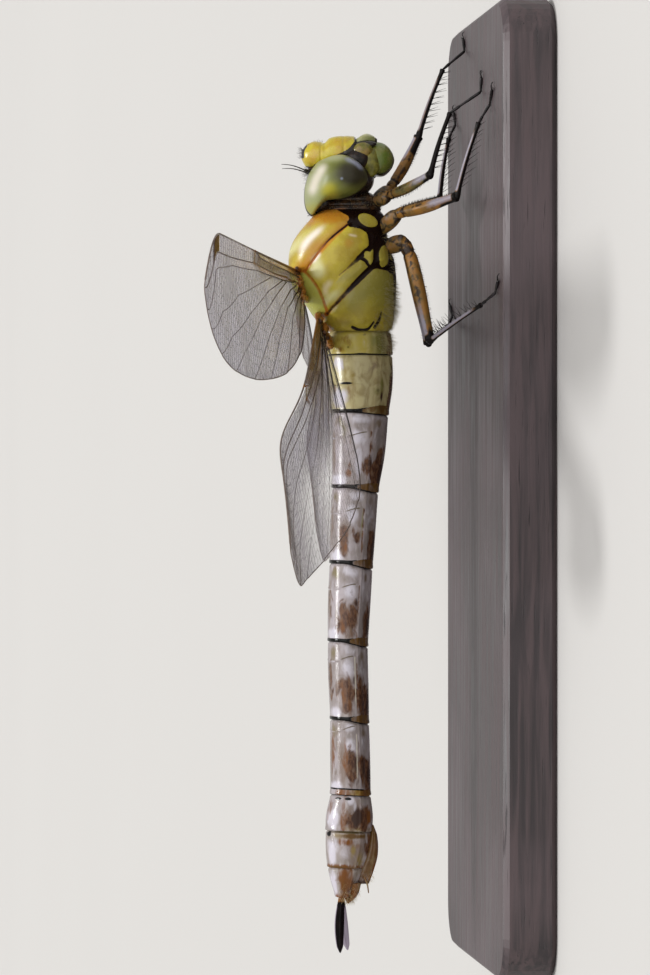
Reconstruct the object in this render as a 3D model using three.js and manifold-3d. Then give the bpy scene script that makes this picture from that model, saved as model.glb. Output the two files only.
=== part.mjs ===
// A freshly emerged female southern hawker dragonfly, life size, standing on a small wooden base.
// Millimetres. +X is the head end, +Z is up and -Y is the right side of the insect.
// The origin is the middle of the underside of the base.
// Head, thorax, abdomen and wings are drawn in the body's own upright frame, and the whole body
// then leans a few degrees to its left on its six legs.

import * as THREE from "three";
import { mergeVertices } from "three/addons/utils/BufferGeometryUtils.js";
import Module from "manifold-3d";

// --- Driving dimensions -------------------------------------------------------------------------

const SLIT = 0.06; // gap between neighbouring plates
const FOOT_GAP = 0.03; // gap under each foot

const BASE = { length: 84, width: 36, thickness: 4.6, corner: 4, bevel: 0.5 };

const BODY_LEAN = THREE.MathUtils.degToRad(-6); // turn about the body's long axis
const BODY_AXIS_HEIGHT = 15.5;

// Rows of the body's outline: place along X, back, belly, half width.
const ABDOMEN = [
  [14.3, 17.5, 12.2, 2.25],
  [13.0, 17.65, 12.05, 2.55],
  [9.7, 17.5, 12.0, 2.9],
  [6.8, 17.25, 12.35, 2.5],
  [3.5, 17.2, 12.7, 2.1],
  [0.1, 17.25, 13.25, 2.0],
  [-6.5, 17.45, 13.75, 2.1],
  [-13.4, 17.6, 14.15, 2.2],
  [-20.3, 17.4, 14.05, 2.15],
  [-26.9, 17.4, 13.9, 1.95],
  [-29.0, 17.75, 13.75, 1.9],
  [-31.5, 17.75, 13.95, 1.65],
  [-33.4, 17.6, 14.55, 1.4],
  [-36.0, 16.9, 15.65, 0.85],
];
const SEGMENT_ENDS = [13.9, 11.84, 6.76, 0.13, -6.54, -13.43, -20.32, -26.94, -30.12, -33.39, -36.04];

const THORAX = [
  [24.7, 18.3, 13.0, 2.0],
  [23.4, 19.6, 12.6, 3.2],
  [21.8, 20.75, 12.3, 3.75],
  [20.1, 21.1, 11.75, 3.95],
  [18.0, 20.75, 11.75, 3.95],
  [16.0, 19.3, 11.85, 3.75],
  [14.8, 18.4, 12.0, 3.2],
  [14.0, 17.7, 12.2, 2.5],
];
const PROTHORAX = [
  [26.3, 17.3, 13.9, 1.0],
  [25.9, 17.9, 13.3, 1.5],
  [25.3, 18.25, 12.9, 1.85],
  [24.76, 18.1, 12.9, 1.8],
];

// Head pieces as rows from top to bottom: height, front, back, half width.
const FACE = [
  [19.95, 30.0, 29.2, 0.55],
  [19.6, 30.45, 28.6, 1.1],
  [18.9, 30.8, 28.4, 1.5],
  [18.2, 30.75, 28.4, 1.7],
  [17.9, 30.7, 28.4, 1.75],
  [17.5, 31.1, 28.4, 1.85],
  [16.4, 31.3, 28.4, 2.0],
  [15.2, 31.25, 28.6, 2.0],
];
const LABRUM = [
  [15.12, 31.3, 29.6, 1.7],
  [14.6, 31.55, 29.6, 1.7],
  [13.7, 31.5, 29.8, 1.4],
  [13.15, 31.2, 30.2, 0.8],
];
const LABIUM = [
  [14.3, 30.5, 28.2, 1.6],
  [13.4, 30.7, 27.9, 1.95],
  [12.5, 30.4, 27.7, 1.8],
  [11.95, 29.6, 28.3, 1.0],
];
const CAPSULE = { centre: [27.45, 0, 16.5], radii: [2.0, 3.9, 3.0] };
const MANDIBLE = { centre: [29.9, 1.95, 14.3], radii: [0.85, 0.55, 1.0] };

// The rim of one eye as seen from its side: place along X, height, distance out from the middle.
const EYE_RIM = [
  [26.2, 19.75, 0.05],
  [27.5, 19.5, 0.08],
  [28.3, 19.05, 0.9],
  [29.0, 18.3, 1.7],
  [29.45, 16.4, 2.5],
  [28.6, 14.8, 2.9],
  [27.2, 14.1, 2.8],
  [26.2, 14.9, 2.5],
  [25.6, 16.3, 2.1],
  [25.45, 17.7, 1.5],
  [24.8, 18.5, 1.0],
  [24.2, 19.05, 0.4],
  [24.8, 19.6, 0.08],
];
const EYE_CROWN = { x: 27.0, z: 17.3, out: 4.75, inner: 1.6 };

const ANTENNA = { root: [28.9, 0.95, 19.1], tip: [28.6, 2.6, 21.7], rootRadius: 0.32, tipRadius: 0.25 };

const CERCUS = { root: [-36.1, 0.42, 16.45], tip: [-40.8, 1.15, 16.4], halfWidth: 0.48, halfHeight: 0.32 };
const CERCUS_SAG = { cercus_left: 0.5, cercus_right: -0.15 }; // drop of each tip
const OVIPOSITOR = [
  [-29.6, 13.75, 13.6, 0.3],
  [-30.6, 14.0, 13.25, 0.6],
  [-32.2, 14.4, 13.2, 0.65],
  [-33.8, 14.9, 13.6, 0.5],
  [-35.2, 15.4, 14.3, 0.3],
];

const WING_THICKNESS = 0.5;
const WING_TENON = 1.4; // how far each wing runs on inside its hinge, to be cut back by the thorax
// Rows of the wings' trailing edges: distance from the hinge, width behind the leading edge.
const TRAILING_FORE = [
  [0, 2.6],
  [3, 5.2],
  [8, 7.9],
  [15, 9.8],
  [24, 10.8],
  [32, 10.9],
  [38.5, 10.1],
  [43, 8.4],
  [45.5, 6.5],
  [46.5, 5.2],
];
const TRAILING_HIND = [
  [0, 2.4],
  [1.2, 2.8],
  [2.5, 5.2],
  [4, 8.6],
  [6, 11.8],
  [8.5, 13.5],
  [13, 14],
  [22, 13.3],
  [30, 12.5],
  [36.5, 11.0],
  [41.5, 8.6],
  [44, 6.3],
  [45, 5.0],
];
const TIP_CURVE = { start: 0.85, depth: 4.2, power: 2.2 }; // the leading edge bends back to the tip
// Each wing: hinge in the body's frame, length, and its carriage in degrees: how far it swings
// forward, rises, and dips its trailing edge at the root and at the tip, then its arch.
const WINGS = {
  wing_fore_right: {
    side: -1, hinge: [19.3, 2.4, 20.35], length: 46.5, trailing: TRAILING_FORE,
    forward: 1.3, rise: 8.4, dipRoot: 14, dipTip: 0, arch: 0, archAt: 0.7,
  },
  wing_fore_left: {
    side: 1, hinge: [19.3, 2.4, 20.35], length: 46.5, trailing: TRAILING_FORE,
    forward: 6.5, rise: 1.2, dipRoot: 14, dipTip: 4, arch: 0, archAt: 0.7,
  },
  wing_hind_right: {
    side: -1, hinge: [15.3, 2.5, 18.4], length: 45, trailing: TRAILING_HIND,
    forward: -20.5, rise: 3.2, dipRoot: 19, dipTip: 5, arch: 1.2, archAt: 0.72,
  },
  wing_hind_left: {
    side: 1, hinge: [15.3, 2.5, 18.4], length: 45, trailing: TRAILING_HIND,
    forward: -19, rise: 1.0, dipRoot: 17, dipTip: 6, arch: 0.6, archAt: 0.72,
  },
};

// Leg joints on the base's frame: hip on the body, trochanter, knee, ankle, sole and toe.
const SOLE = BASE.thickness + 0.24; // height of a foot's middle
const LEGS = {
  leg_front_right: {
    hip: [25.6, -1.2, 13.2], trochanter: [25.9, -2.2, 12.5], bend: [26.5, -4.0, 11.0],
    knee: [27.5, -6.0, 9.3], ankle: [33.0, -4.6, 7.4], sole: [34.9, -5.0, SOLE], toe: [36.1, -5.3, SOLE],
    femurRadius: 0.48,
  },
  leg_front_left: {
    hip: [25.7, 1.2, 13.1], trochanter: [26.8, 2.2, 11.9], bend: [28.7, 3.0, 10.6],
    knee: [31.6, 3.8, 9.1], ankle: [37.7, 4.6, 6.8], sole: [39.5, 5.5, SOLE], toe: [40.6, 6.2, SOLE],
    femurRadius: 0.48,
  },
  leg_middle_right: {
    hip: [23.3, -1.6, 12.7], trochanter: [24.3, -3.0, 11.8], bend: [24.7, -5.2, 9.7],
    knee: [25.5, -7.6, 7.2], ankle: [31.8, -9.2, 5.5], sole: [33.3, -10.6, SOLE], toe: [34.4, -11.8, SOLE],
    femurRadius: 0.5,
  },
  leg_middle_left: {
    hip: [23.5, 1.6, 12.4], trochanter: [24.6, 3.0, 11.2], bend: [25.4, 5.2, 8.9],
    knee: [26.2, 7.6, 6.7], ankle: [32.0, 10.2, 5.5], sole: [33.4, 11.6, SOLE], toe: [34.6, 12.7, SOLE],
    femurRadius: 0.5,
  },
  leg_hind_right: {
    hip: [21.5, -1.6, 12.1], trochanter: [21.9, -3.0, 11.2], bend: [20.0, -3.9, 10.6],
    knee: [13.0, -6.8, 9.4], ankle: [15.9, -12.0, 5.7], sole: [16.9, -13.9, SOLE], toe: [17.8, -15.4, SOLE],
    femurRadius: 0.53,
  },
  leg_hind_left: {
    hip: [21.7, 1.6, 11.9], trochanter: [22.2, 3.0, 10.6], bend: [20.4, 3.9, 9.8],
    knee: [13.2, 6.8, 7.8], ankle: [15.0, 12.0, 5.3], sole: [16.0, 13.7, SOLE], toe: [17.0, 15.2, SOLE],
    femurRadius: 0.53,
  },
};
const KNEE_RADIUS = 0.42;
const TIBIA_RADIUS = 0.28;
const ANKLE_RADIUS = 0.3;
const TARSUS_RADIUS = 0.26;

// --- Finishes -----------------------------------------------------------------------------------

const finish = (color, roughness) => new THREE.MeshStandardMaterial({ color, roughness, metalness: 0 });
const FINISHES = {
  wood: finish("#3a2f33", 0.55),
  eye: finish("#8f9a3c", 0.18),
  yellow: finish("#c9b93c", 0.35),
  green: finish("#8d9440", 0.35),
  dark: finish("#2a1c14", 0.4),
  cream: finish("#d9d0a0", 0.35),
  lavender: finish("#c4bcb8", 0.3),
  leg: finish("#6b4a2a", 0.4),
  black: finish("#1a1513", 0.35),
  membrane: finish("#b8b8b0", 0.2),
};

// --- Shaping tools ------------------------------------------------------------------------------

const wasm = await Module();
wasm.setup();

// The row of a table at a place along it, by a cubic that passes through the rows.
function rowAt(table, place) {
  const rows = table[0][0] < table[1][0] ? table : [...table].reverse();
  const at = THREE.MathUtils.clamp(place, rows[0][0], rows.at(-1)[0]);
  const i = Math.max(rows.findIndex((row) => row[0] >= at) - 1, 0);
  const before = rows[Math.max(i - 1, 0)];
  const [low, high] = [rows[i], rows[i + 1]];
  const after = rows[Math.min(i + 2, rows.length - 1)];
  const span = high[0] - low[0];
  const t = (at - low[0]) / span;
  return low.map((value, k) => {
    const slopeLow = ((high[k] - before[k]) / (high[0] - before[0])) * span;
    const slopeHigh = ((after[k] - value) / (after[0] - low[0])) * span;
    const cube = 2 * value - 2 * high[k] + slopeLow + slopeHigh;
    const square = 3 * (high[k] - value) - 2 * slopeLow - slopeHigh;
    return ((cube * t + square) * t + slopeLow) * t + value;
  });
}

// A closed solid through rings of equal length, capped by a fan at each end, with its faces out.
function loft(rings) {
  const sides = rings[0].length;
  const middle = (ring) => ring.reduce((sum, p) => sum.add(p), new THREE.Vector3()).divideScalar(sides);
  const points = [...rings.flat(), middle(rings[0]), middle(rings.at(-1))];
  const [firstCap, lastCap] = [points.length - 2, points.length - 1];
  const lastRing = (rings.length - 1) * sides;
  const index = [];
  for (let j = 0; j < sides; j++) {
    const next = (j + 1) % sides;
    for (let low = 0; low < lastRing; low += sides) {
      const high = low + sides;
      index.push(low + j, low + next, high + next, low + j, high + next, high + j);
    }
    index.push(firstCap, next, j, lastCap, lastRing + j, lastRing + next);
  }
  return solidFrom(points.flatMap((p) => p.toArray()), index);
}

// A manifold solid from positions and triangles, turned inside out where its faces point in.
function solidFrom(positions, index) {
  const corner = (i) => new THREE.Vector3().fromArray(positions, 3 * index[i]);
  let sixVolumes = 0;
  for (let i = 0; i < index.length; i += 3) {
    sixVolumes += corner(i).dot(corner(i + 1).cross(corner(i + 2)));
  }
  if (sixVolumes < 0) {
    index.reverse();
  }
  return new wasm.Manifold(
    new wasm.Mesh({
      numProp: 3,
      vertProperties: new Float32Array(positions),
      triVerts: new Uint32Array(index),
    }),
  );
}

// A three.js geometry as a manifold solid.
function solidOf(geometry) {
  geometry.deleteAttribute("normal");
  geometry.deleteAttribute("uv");
  const merged = mergeVertices(geometry);
  return solidFrom([...merged.attributes.position.array], [...merged.index.array]);
}

// A manifold solid as a geometry for a mesh.
function geometryOf(solid) {
  const { numProp, vertProperties, triVerts } = solid.getMesh();
  const geometry = new THREE.BufferGeometry();
  const positions = new Float32Array((vertProperties.length / numProp) * 3);
  for (let i = 0; i < positions.length; i += 3) {
    positions.set(vertProperties.subarray((i / 3) * numProp, (i / 3) * numProp + 3), i);
  }
  geometry.setAttribute("position", new THREE.BufferAttribute(positions, 3));
  geometry.setIndex(new THREE.BufferAttribute(triVerts, 1));
  geometry.computeVertexNormals();
  return geometry;
}

// A barrel along X through rows of place, back, belly and half width, grown outward on all sides.
function barrel(rows, grow, sides = 16) {
  const ends = [0, rows.length - 1];
  const rings = rows.map(([x, back, belly, half], i) => {
    const push = ends.includes(i) ? grow * Math.sign(x - rows[i ? i - 1 : 1][0]) : 0;
    return Array.from({ length: sides }, (_, j) => {
      const turn = (j / sides) * 2 * Math.PI;
      const height = ((back - belly) / 2 + grow) * Math.sin(turn);
      return new THREE.Vector3(x + push, (half + grow) * Math.cos(turn), (back + belly) / 2 + height);
    });
  });
  return loft(rings);
}

// A column along Z through rows of height, front, back and half width, grown outward on all sides.
function column(rows, grow, sides = 14) {
  const ends = [0, rows.length - 1];
  const rings = rows.map(([z, front, back, half], i) => {
    const push = ends.includes(i) ? grow * Math.sign(z - rows[i ? i - 1 : 1][0]) : 0;
    return Array.from({ length: sides }, (_, j) => {
      const turn = (j / sides) * 2 * Math.PI;
      const depth = ((front - back) / 2 + grow) * Math.cos(turn);
      return new THREE.Vector3((front + back) / 2 + depth, (half + grow) * Math.sin(turn), z + push);
    });
  });
  return loft(rings);
}

function ellipsoid({ centre, radii }, side, grow, widthSteps = 20, heightSteps = 12) {
  const geometry = new THREE.SphereGeometry(1, widthSteps, heightSteps);
  geometry.scale(radii[0] + grow, radii[1] + grow, radii[2] + grow);
  geometry.translate(centre[0], side * centre[1], centre[2]);
  return solidOf(geometry);
}

// A round limb through points with a radius at each, and a ball at its far end where it is a joint.
function limb(points, radii, grow, ball = 0, sides = 8) {
  const path = points.map((p) => new THREE.Vector3(...p));
  const rings = path.map((point, i) => {
    const along = path[Math.min(i + 1, path.length - 1)].clone().sub(path[Math.max(i - 1, 0)]).normalize();
    const across = new THREE.Vector3(0, 0, 1).cross(along).normalize();
    const upward = along.clone().cross(across);
    const push = (i ? 1 : -1) * (i % (path.length - 1) ? 0 : grow);
    return Array.from({ length: sides }, (_, j) => {
      const turn = ((j + 0.5) / sides) * 2 * Math.PI;
      const outward = across.clone().multiplyScalar(Math.cos(turn)).addScaledVector(upward, Math.sin(turn));
      return point.clone().addScaledVector(outward, radii[i] + grow).addScaledVector(along, push);
    });
  });
  const shaft = loft(rings);
  const end = { centre: points.at(-1), radii: [ball, ball, ball] };
  return ball ? shaft.add(ellipsoid(end, 1, grow, 8, 5)) : shaft;
}

// --- Body ---------------------------------------------------------------------------------------

function segment(number, grow) {
  const [front, rear] = [SEGMENT_ENDS[number - 1], SEGMENT_ENDS[number]];
  const steps = Math.max(2, Math.round((front - rear) / 1.6));
  const rows = Array.from({ length: steps + 1 }, (_, i) => {
    const x = THREE.MathUtils.lerp(front - SLIT / 2, rear + SLIT / 2, i / steps);
    return rowAt(ABDOMEN, x);
  });
  return barrel(rows, grow);
}

function thorax(grow) {
  const [front, rear] = [THORAX[0][0], THORAX.at(-1)[0]];
  const steps = 12;
  const rows = Array.from({ length: steps + 1 }, (_, i) => {
    return rowAt(THORAX, THREE.MathUtils.lerp(front, rear, i / steps));
  });
  return barrel(rows, grow, 18);
}

function cercus(name, side, grow) {
  const root = new THREE.Vector3(CERCUS.root[0], side * CERCUS.root[1], CERCUS.root[2]);
  const tip = new THREE.Vector3(CERCUS.tip[0], side * CERCUS.tip[1], CERCUS.tip[2] - CERCUS_SAG[name]);
  const steps = 6;
  const rings = Array.from({ length: steps + 1 }, (_, i) => {
    const t = i / steps;
    const leaf = 0.55 + 0.45 * Math.sin(Math.PI * Math.min(1.25 * t + 0.1, 1));
    const middle = root.clone().lerp(tip, t);
    return Array.from({ length: 10 }, (_, j) => {
      const turn = (j / 10) * 2 * Math.PI;
      const y = (CERCUS.halfWidth * leaf + grow) * Math.cos(turn);
      const z = (CERCUS.halfHeight * leaf + grow) * Math.sin(turn);
      return middle.clone().add(new THREE.Vector3(0, y, z));
    });
  });
  return loft(rings);
}

// --- Head ---------------------------------------------------------------------------------------

// One eye: a dome that rises from its rim to the crown, closed behind by a shallow cone.
function eye(side, grow) {
  const around = 24;
  const rim = new THREE.CatmullRomCurve3(EYE_RIM.map(([x, z, out]) => new THREE.Vector3(x, out, z)), true);
  const rimPoints = rim.getPoints(around).slice(0, around);
  const dome = [0.12, 0.35, 0.58, 0.77, 0.9, 0.975, 1];
  const ringOf = (spread, outAt) =>
    rimPoints.map((p) => {
      const away = new THREE.Vector2(p.x - EYE_CROWN.x, p.z - EYE_CROWN.z);
      away.setLength(away.length() * spread + grow * spread);
      return new THREE.Vector3(EYE_CROWN.x + away.x, side * outAt(p), EYE_CROWN.z + away.y);
    });
  const rings = dome.map((spread) =>
    ringOf(spread, (p) => {
      const height = Math.sqrt(1 - spread * spread) * (EYE_CROWN.out - p.y + grow);
      return p.y + height - (spread === 1 ? grow : 0);
    }),
  );
  const back = ringOf(0.4, (p) => THREE.MathUtils.lerp(EYE_CROWN.inner, p.y, 0.4) - grow);
  return loft([...rings, back]);
}

function antenna(side, grow) {
  const { root, tip, rootRadius, tipRadius } = ANTENNA;
  const ends = [root, tip].map(([x, y, z]) => [x, side * y, z]);
  return limb(ends, [rootRadius, tipRadius], grow);
}

// --- Wings --------------------------------------------------------------------------------------

// How far the leading edge of a wing has curved back at a place along it.
function leadingEdge(wing, along) {
  const { start, depth, power } = TIP_CURVE;
  return depth * Math.max((along / wing.length - start) / (1 - start), 0) ** power;
}

function wing(name, grow) {
  const one = WINGS[name];
  const [forward, rise] = [one.forward, one.rise].map(THREE.MathUtils.degToRad);
  const along = new THREE.Vector3(
    Math.sin(forward) * Math.cos(rise),
    one.side * Math.cos(forward) * Math.cos(rise),
    Math.sin(rise),
  );
  const back = new THREE.Vector3(-1, 0, 0).addScaledVector(along, along.x).normalize();
  const up = along.clone().cross(back).multiplyScalar(one.side).normalize();
  const hinge = new THREE.Vector3(one.hinge[0], one.side * one.hinge[1], one.hinge[2]);
  const [steps, ribs] = [20, 3];
  const half = WING_THICKNESS / 2 + grow;
  const rings = Array.from({ length: steps + 1 }, (_, i) => {
    const t = i / steps - 0.08 * Math.sin((2 * Math.PI * i) / steps);
    const place = THREE.MathUtils.lerp(-WING_TENON, one.length, t);
    const dip = THREE.MathUtils.degToRad(THREE.MathUtils.lerp(one.dipRoot, one.dipTip, t));
    const chord = back.clone().multiplyScalar(Math.cos(dip)).addScaledVector(up, -Math.sin(dip));
    const normal = up.clone().multiplyScalar(Math.cos(dip)).addScaledVector(back, Math.sin(dip));
    const arch = one.arch * Math.exp(-(((place / one.length - one.archAt) / 0.2) ** 2));
    const start = hinge.clone().addScaledVector(along, place).addScaledVector(up, arch);
    const [lead, trail] = [leadingEdge(one, place) - grow, rowAt(one.trailing, place)[1] + grow];
    const edge = (side, order) =>
      Array.from({ length: ribs + 1 }, (_, j) => {
        const across = THREE.MathUtils.lerp(lead, trail, order > 0 ? j / ribs : 1 - j / ribs);
        return start.clone().addScaledVector(chord, across).addScaledVector(normal, side * half);
      });
    return [...edge(1, 1), ...edge(-1, -1)];
  });
  return loft(rings);
}

// --- Legs ---------------------------------------------------------------------------------------

function femur(name, grow) {
  const { hip, trochanter, bend, knee, femurRadius: r } = LEGS[name];
  return limb([hip, trochanter, bend, knee], [1.25 * r, r, r, 0.75 * r], grow, KNEE_RADIUS);
}

function tibia(name, grow) {
  const { knee, ankle } = LEGS[name];
  return limb([knee, ankle], [TIBIA_RADIUS, TIBIA_RADIUS], grow, ANKLE_RADIUS, 6);
}

function tarsus(name, grow) {
  const { ankle, sole, toe } = LEGS[name];
  return limb([ankle, sole, toe], [TARSUS_RADIUS, TARSUS_RADIUS, TARSUS_RADIUS], grow, 0, 6);
}

// --- Base ---------------------------------------------------------------------------------------

function base(grow) {
  const { length, width, thickness, corner, bevel } = BASE;
  const [x, y, r] = [length / 2 - bevel, width / 2 - bevel, corner - bevel];
  const outline = new THREE.Shape();
  outline.moveTo(-x + r, -y);
  outline.absarc(x - r, -y + r, r, -Math.PI / 2, 0);
  outline.absarc(x - r, y - r, r, 0, Math.PI / 2);
  outline.absarc(-x + r, y - r, r, Math.PI / 2, Math.PI);
  outline.absarc(-x + r, -y + r, r, Math.PI, 1.5 * Math.PI);
  const options = {
    depth: thickness - 2 * bevel,
    bevelThickness: bevel,
    bevelSize: bevel,
    bevelSegments: 1,
    curveSegments: 4,
  };
  const geometry = new THREE.ExtrudeGeometry(outline, options);
  geometry.translate(0, 0, bevel + grow);
  return solidOf(geometry);
}

// --- Assembly -----------------------------------------------------------------------------------

// The body pieces in the order they are fitted: each is cut back from those fitted before it.
const bodyPieces = {
  thorax: [thorax, FINISHES.yellow, []],
  prothorax: [(grow) => barrel(PROTHORAX, grow), FINISHES.dark, ["thorax"]],
};
for (const [name, side] of [["eye_left", 1], ["eye_right", -1]]) {
  bodyPieces[name] = [(grow) => eye(side, grow), FINISHES.eye, ["prothorax"]];
}
bodyPieces.face = [(grow) => column(FACE, grow), FINISHES.yellow, ["eye_left", "eye_right"]];
bodyPieces.labrum = [(grow) => column(LABRUM, grow), FINISHES.green, ["face"]];
bodyPieces.labium = [(grow) => column(LABIUM, grow), FINISHES.green, ["labrum"]];
for (const [name, side] of [["mandible_left", 1], ["mandible_right", -1]]) {
  const neighbours = ["face", "labrum", "labium", "eye_left", "eye_right"];
  bodyPieces[name] = [(grow) => ellipsoid(MANDIBLE, side, grow, 10, 6), FINISHES.green, neighbours];
}
bodyPieces.head = [
  (grow) => ellipsoid(CAPSULE, 1, grow, 16, 10),
  FINISHES.dark,
  ["prothorax", "eye_left", "eye_right", "face", "labrum", "labium", "mandible_left", "mandible_right"],
];
for (const [name, side] of [["antenna_left", 1], ["antenna_right", -1]]) {
  const round = ["head", "face", "eye_left", "eye_right"];
  bodyPieces[name] = [(grow) => antenna(side, grow), FINISHES.black, round];
}
for (let number = 1; number <= SEGMENT_ENDS.length - 1; number++) {
  const pale = number === 2 || number > 7 ? FINISHES.cream : FINISHES.lavender;
  const tone = number === 1 ? FINISHES.yellow : pale;
  const round = number === 1 ? ["thorax"] : [];
  bodyPieces[`abdomen_s${number}`] = [(grow) => segment(number, grow), tone, round];
}
const tail = ["abdomen_s8", "abdomen_s9", "abdomen_s10"];
bodyPieces.ovipositor = [(grow) => barrel(OVIPOSITOR, grow, 10), FINISHES.cream, tail];
for (const [name, side] of [["cercus_left", 1], ["cercus_right", -1]]) {
  bodyPieces[name] = [(grow) => cercus(name, side, grow), FINISHES.black, ["abdomen_s10"]];
}
for (const name of Object.keys(WINGS)) {
  const round = ["thorax", "abdomen_s1", "abdomen_s2"];
  bodyPieces[name] = [(grow) => wing(name, grow), FINISHES.membrane, round];
}

const body = new THREE.Group();
body.position.set(0, 0, BODY_AXIS_HEIGHT);
body.rotation.x = BODY_LEAN;
const upright = new THREE.Matrix4().makeTranslation(0, 0, -BODY_AXIS_HEIGHT);

// The largest body that a cut has left, so that no loose sliver stays with a piece.
function largest(solid) {
  return solid.decompose().reduce((best, one) => (one.volume() > best.volume() ? one : best));
}

function fitted(pieces, name) {
  const [shape, , neighbours] = pieces[name];
  return largest(neighbours.reduce((solid, other) => solid.subtract(pieces[other][0](SLIT)), shape(0)));
}

for (const [name, [, material]] of Object.entries(bodyPieces)) {
  const geometry = geometryOf(fitted(bodyPieces, name));
  geometry.applyMatrix4(upright);
  const mesh = new THREE.Mesh(geometry, material);
  mesh.name = name;
  body.add(mesh);
}

// The leaning thorax and its neck, for the hips to be cut back from.
function leaning(shape) {
  return shape
    .translate([0, 0, -BODY_AXIS_HEIGHT])
    .rotate([THREE.MathUtils.radToDeg(BODY_LEAN), 0, 0])
    .translate([0, 0, BODY_AXIS_HEIGHT]);
}

const trunk = leaning(thorax(SLIT).add(bodyPieces.prothorax[0](SLIT)));
const ground = base(FOOT_GAP);

const dragonfly = new THREE.Group();
dragonfly.add(body);

for (const name of Object.keys(LEGS)) {
  const links = {
    femur: largest(femur(name, 0).subtract(trunk)),
    tibia: largest(tibia(name, 0).subtract(femur(name, SLIT))),
    tarsus: largest(tarsus(name, 0).subtract(tibia(name, SLIT)).subtract(ground)),
  };
  for (const [link, solid] of Object.entries(links)) {
    const mesh = new THREE.Mesh(geometryOf(solid), link === "femur" ? FINISHES.leg : FINISHES.black);
    mesh.name = `${name}_${link}`;
    dragonfly.add(mesh);
  }
}

const plinth = new THREE.Mesh(geometryOf(base(0)), FINISHES.wood);
plinth.name = "stand_base";
dragonfly.add(plinth);

export default dragonfly;
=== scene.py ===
"""A freshly emerged female southern hawker dragonfly, life size, standing on a small wooden base.

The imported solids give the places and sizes. Each class below builds one sub-assembly of the insect
as finished meshes round them and dresses it. Lengths in the tables are millimetres: those of the
head, thorax, abdomen and wings are in the body's own upright frame, which leans a few degrees to its
left on the base, and those of the legs are in the base's frame. The scene itself is in metres.
"""

import logging
import math
from dataclasses import dataclass, field
from enum import Enum
from functools import reduce
from typing import Callable, Sequence

import bmesh
import bpy
import numpy as np
from mathutils import Matrix, Vector
from mathutils.geometry import delaunay_2d_cdt


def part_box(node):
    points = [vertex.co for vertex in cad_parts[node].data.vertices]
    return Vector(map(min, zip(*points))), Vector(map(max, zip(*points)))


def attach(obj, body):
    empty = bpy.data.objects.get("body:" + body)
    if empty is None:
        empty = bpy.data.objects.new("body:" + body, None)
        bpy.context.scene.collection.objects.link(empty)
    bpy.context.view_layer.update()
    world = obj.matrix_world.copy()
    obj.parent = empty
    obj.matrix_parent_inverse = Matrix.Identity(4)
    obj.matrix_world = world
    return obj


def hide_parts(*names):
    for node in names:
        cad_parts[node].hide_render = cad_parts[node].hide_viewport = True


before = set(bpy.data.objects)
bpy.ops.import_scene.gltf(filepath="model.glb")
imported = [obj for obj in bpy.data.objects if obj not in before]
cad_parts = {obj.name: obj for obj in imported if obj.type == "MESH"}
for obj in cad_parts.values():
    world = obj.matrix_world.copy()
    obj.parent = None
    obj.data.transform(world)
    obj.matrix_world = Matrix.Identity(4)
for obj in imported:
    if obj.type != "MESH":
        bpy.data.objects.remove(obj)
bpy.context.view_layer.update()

LOG = logging.getLogger("dragonfly")

Array = np.ndarray
Rows = Sequence[Sequence[float]]
Place = tuple[float, float, float]
Material = bpy.types.Material

# --- The shared frame ---

MM = 0.001
BODY_LEAN = math.radians(-6)
BODY_AXIS_HEIGHT = 15.5
BASE_LOW, BASE_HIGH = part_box("stand_base")
ORIGIN = np.array([(BASE_LOW.x + BASE_HIGH.x) / 2, (BASE_LOW.y + BASE_HIGH.y) / 2, BASE_LOW.z])


def standing(points: Array) -> Array:
    """Places on the base's frame, in millimetres, as places in the scene, in metres."""
    return ORIGIN + np.asarray(points, float) * MM


def leaning(points: Array) -> Array:
    """Places in the body's upright frame, in millimetres, as places in the scene, in metres."""
    x, y, z = np.moveaxis(np.asarray(points, float), -1, 0)
    z = z - BODY_AXIS_HEIGHT
    cos, sin = math.cos(BODY_LEAN), math.sin(BODY_LEAN)
    return standing(np.stack([x, y * cos - z * sin, BODY_AXIS_HEIGHT + y * sin + z * cos], -1))


class Side(Enum):
    """The two sides of the insect, with the sign of Y on each."""

    RIGHT = -1
    LEFT = 1

    @property
    def word(self) -> str:
        """The side's name as the solids' names end."""
        return self.name.lower()


class Slot(Enum):
    """The record's material slots, one named for each finished piece."""

    THORAX = "thorax_cuticle"
    DARK = "dark_cuticle"
    FACE = "face_cuticle"
    EYE = "eye"
    ABDOMEN = "abdomen_cuticle"
    BLACK = "black_cuticle"
    LEG = "leg_cuticle"
    WING = "wing_membrane"


# --- Outlines ---


def fade(values: Array, start: float, end: float) -> Array:
    """A smooth step that is 0 at start and 1 at end, whichever of the two is larger."""
    t = np.clip((np.asarray(values, float) - start) / (end - start), 0.0, 1.0)
    return t * t * (3 - 2 * t)


def hill(values: Array, middle: float, spread: float) -> Array:
    """A bell curve that is 1 at its middle."""
    return np.exp(-(((np.asarray(values, float) - middle) / spread) ** 2))


def strongest(*values: Array | float) -> Array:
    """The largest of some values at each point, whatever their shapes."""
    return reduce(np.maximum, values)


def oval(x: Array, z: Array, middle: Sequence[float], reach: Sequence[float]) -> Array:
    """A soft oval in the X and Z plane that is 1 at its middle."""
    return np.exp(-(((x - middle[0]) / reach[0]) ** 2) - ((z - middle[1]) / reach[1]) ** 2)


def turns(count: int) -> Array:
    """Even angles round a circle, from 0."""
    return np.linspace(0, 2 * np.pi, count, endpoint=False)


def even(rows: Rows, count: int) -> Array:
    """Even steps from a table's first row to its last, in the rows' first number."""
    return np.linspace(rows[0][0], rows[-1][0], count)


def directions(rows: Array) -> Array:
    """Each row of an array scaled to a length of 1."""
    return rows / np.linalg.norm(rows, axis=1)[:, None]


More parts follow.
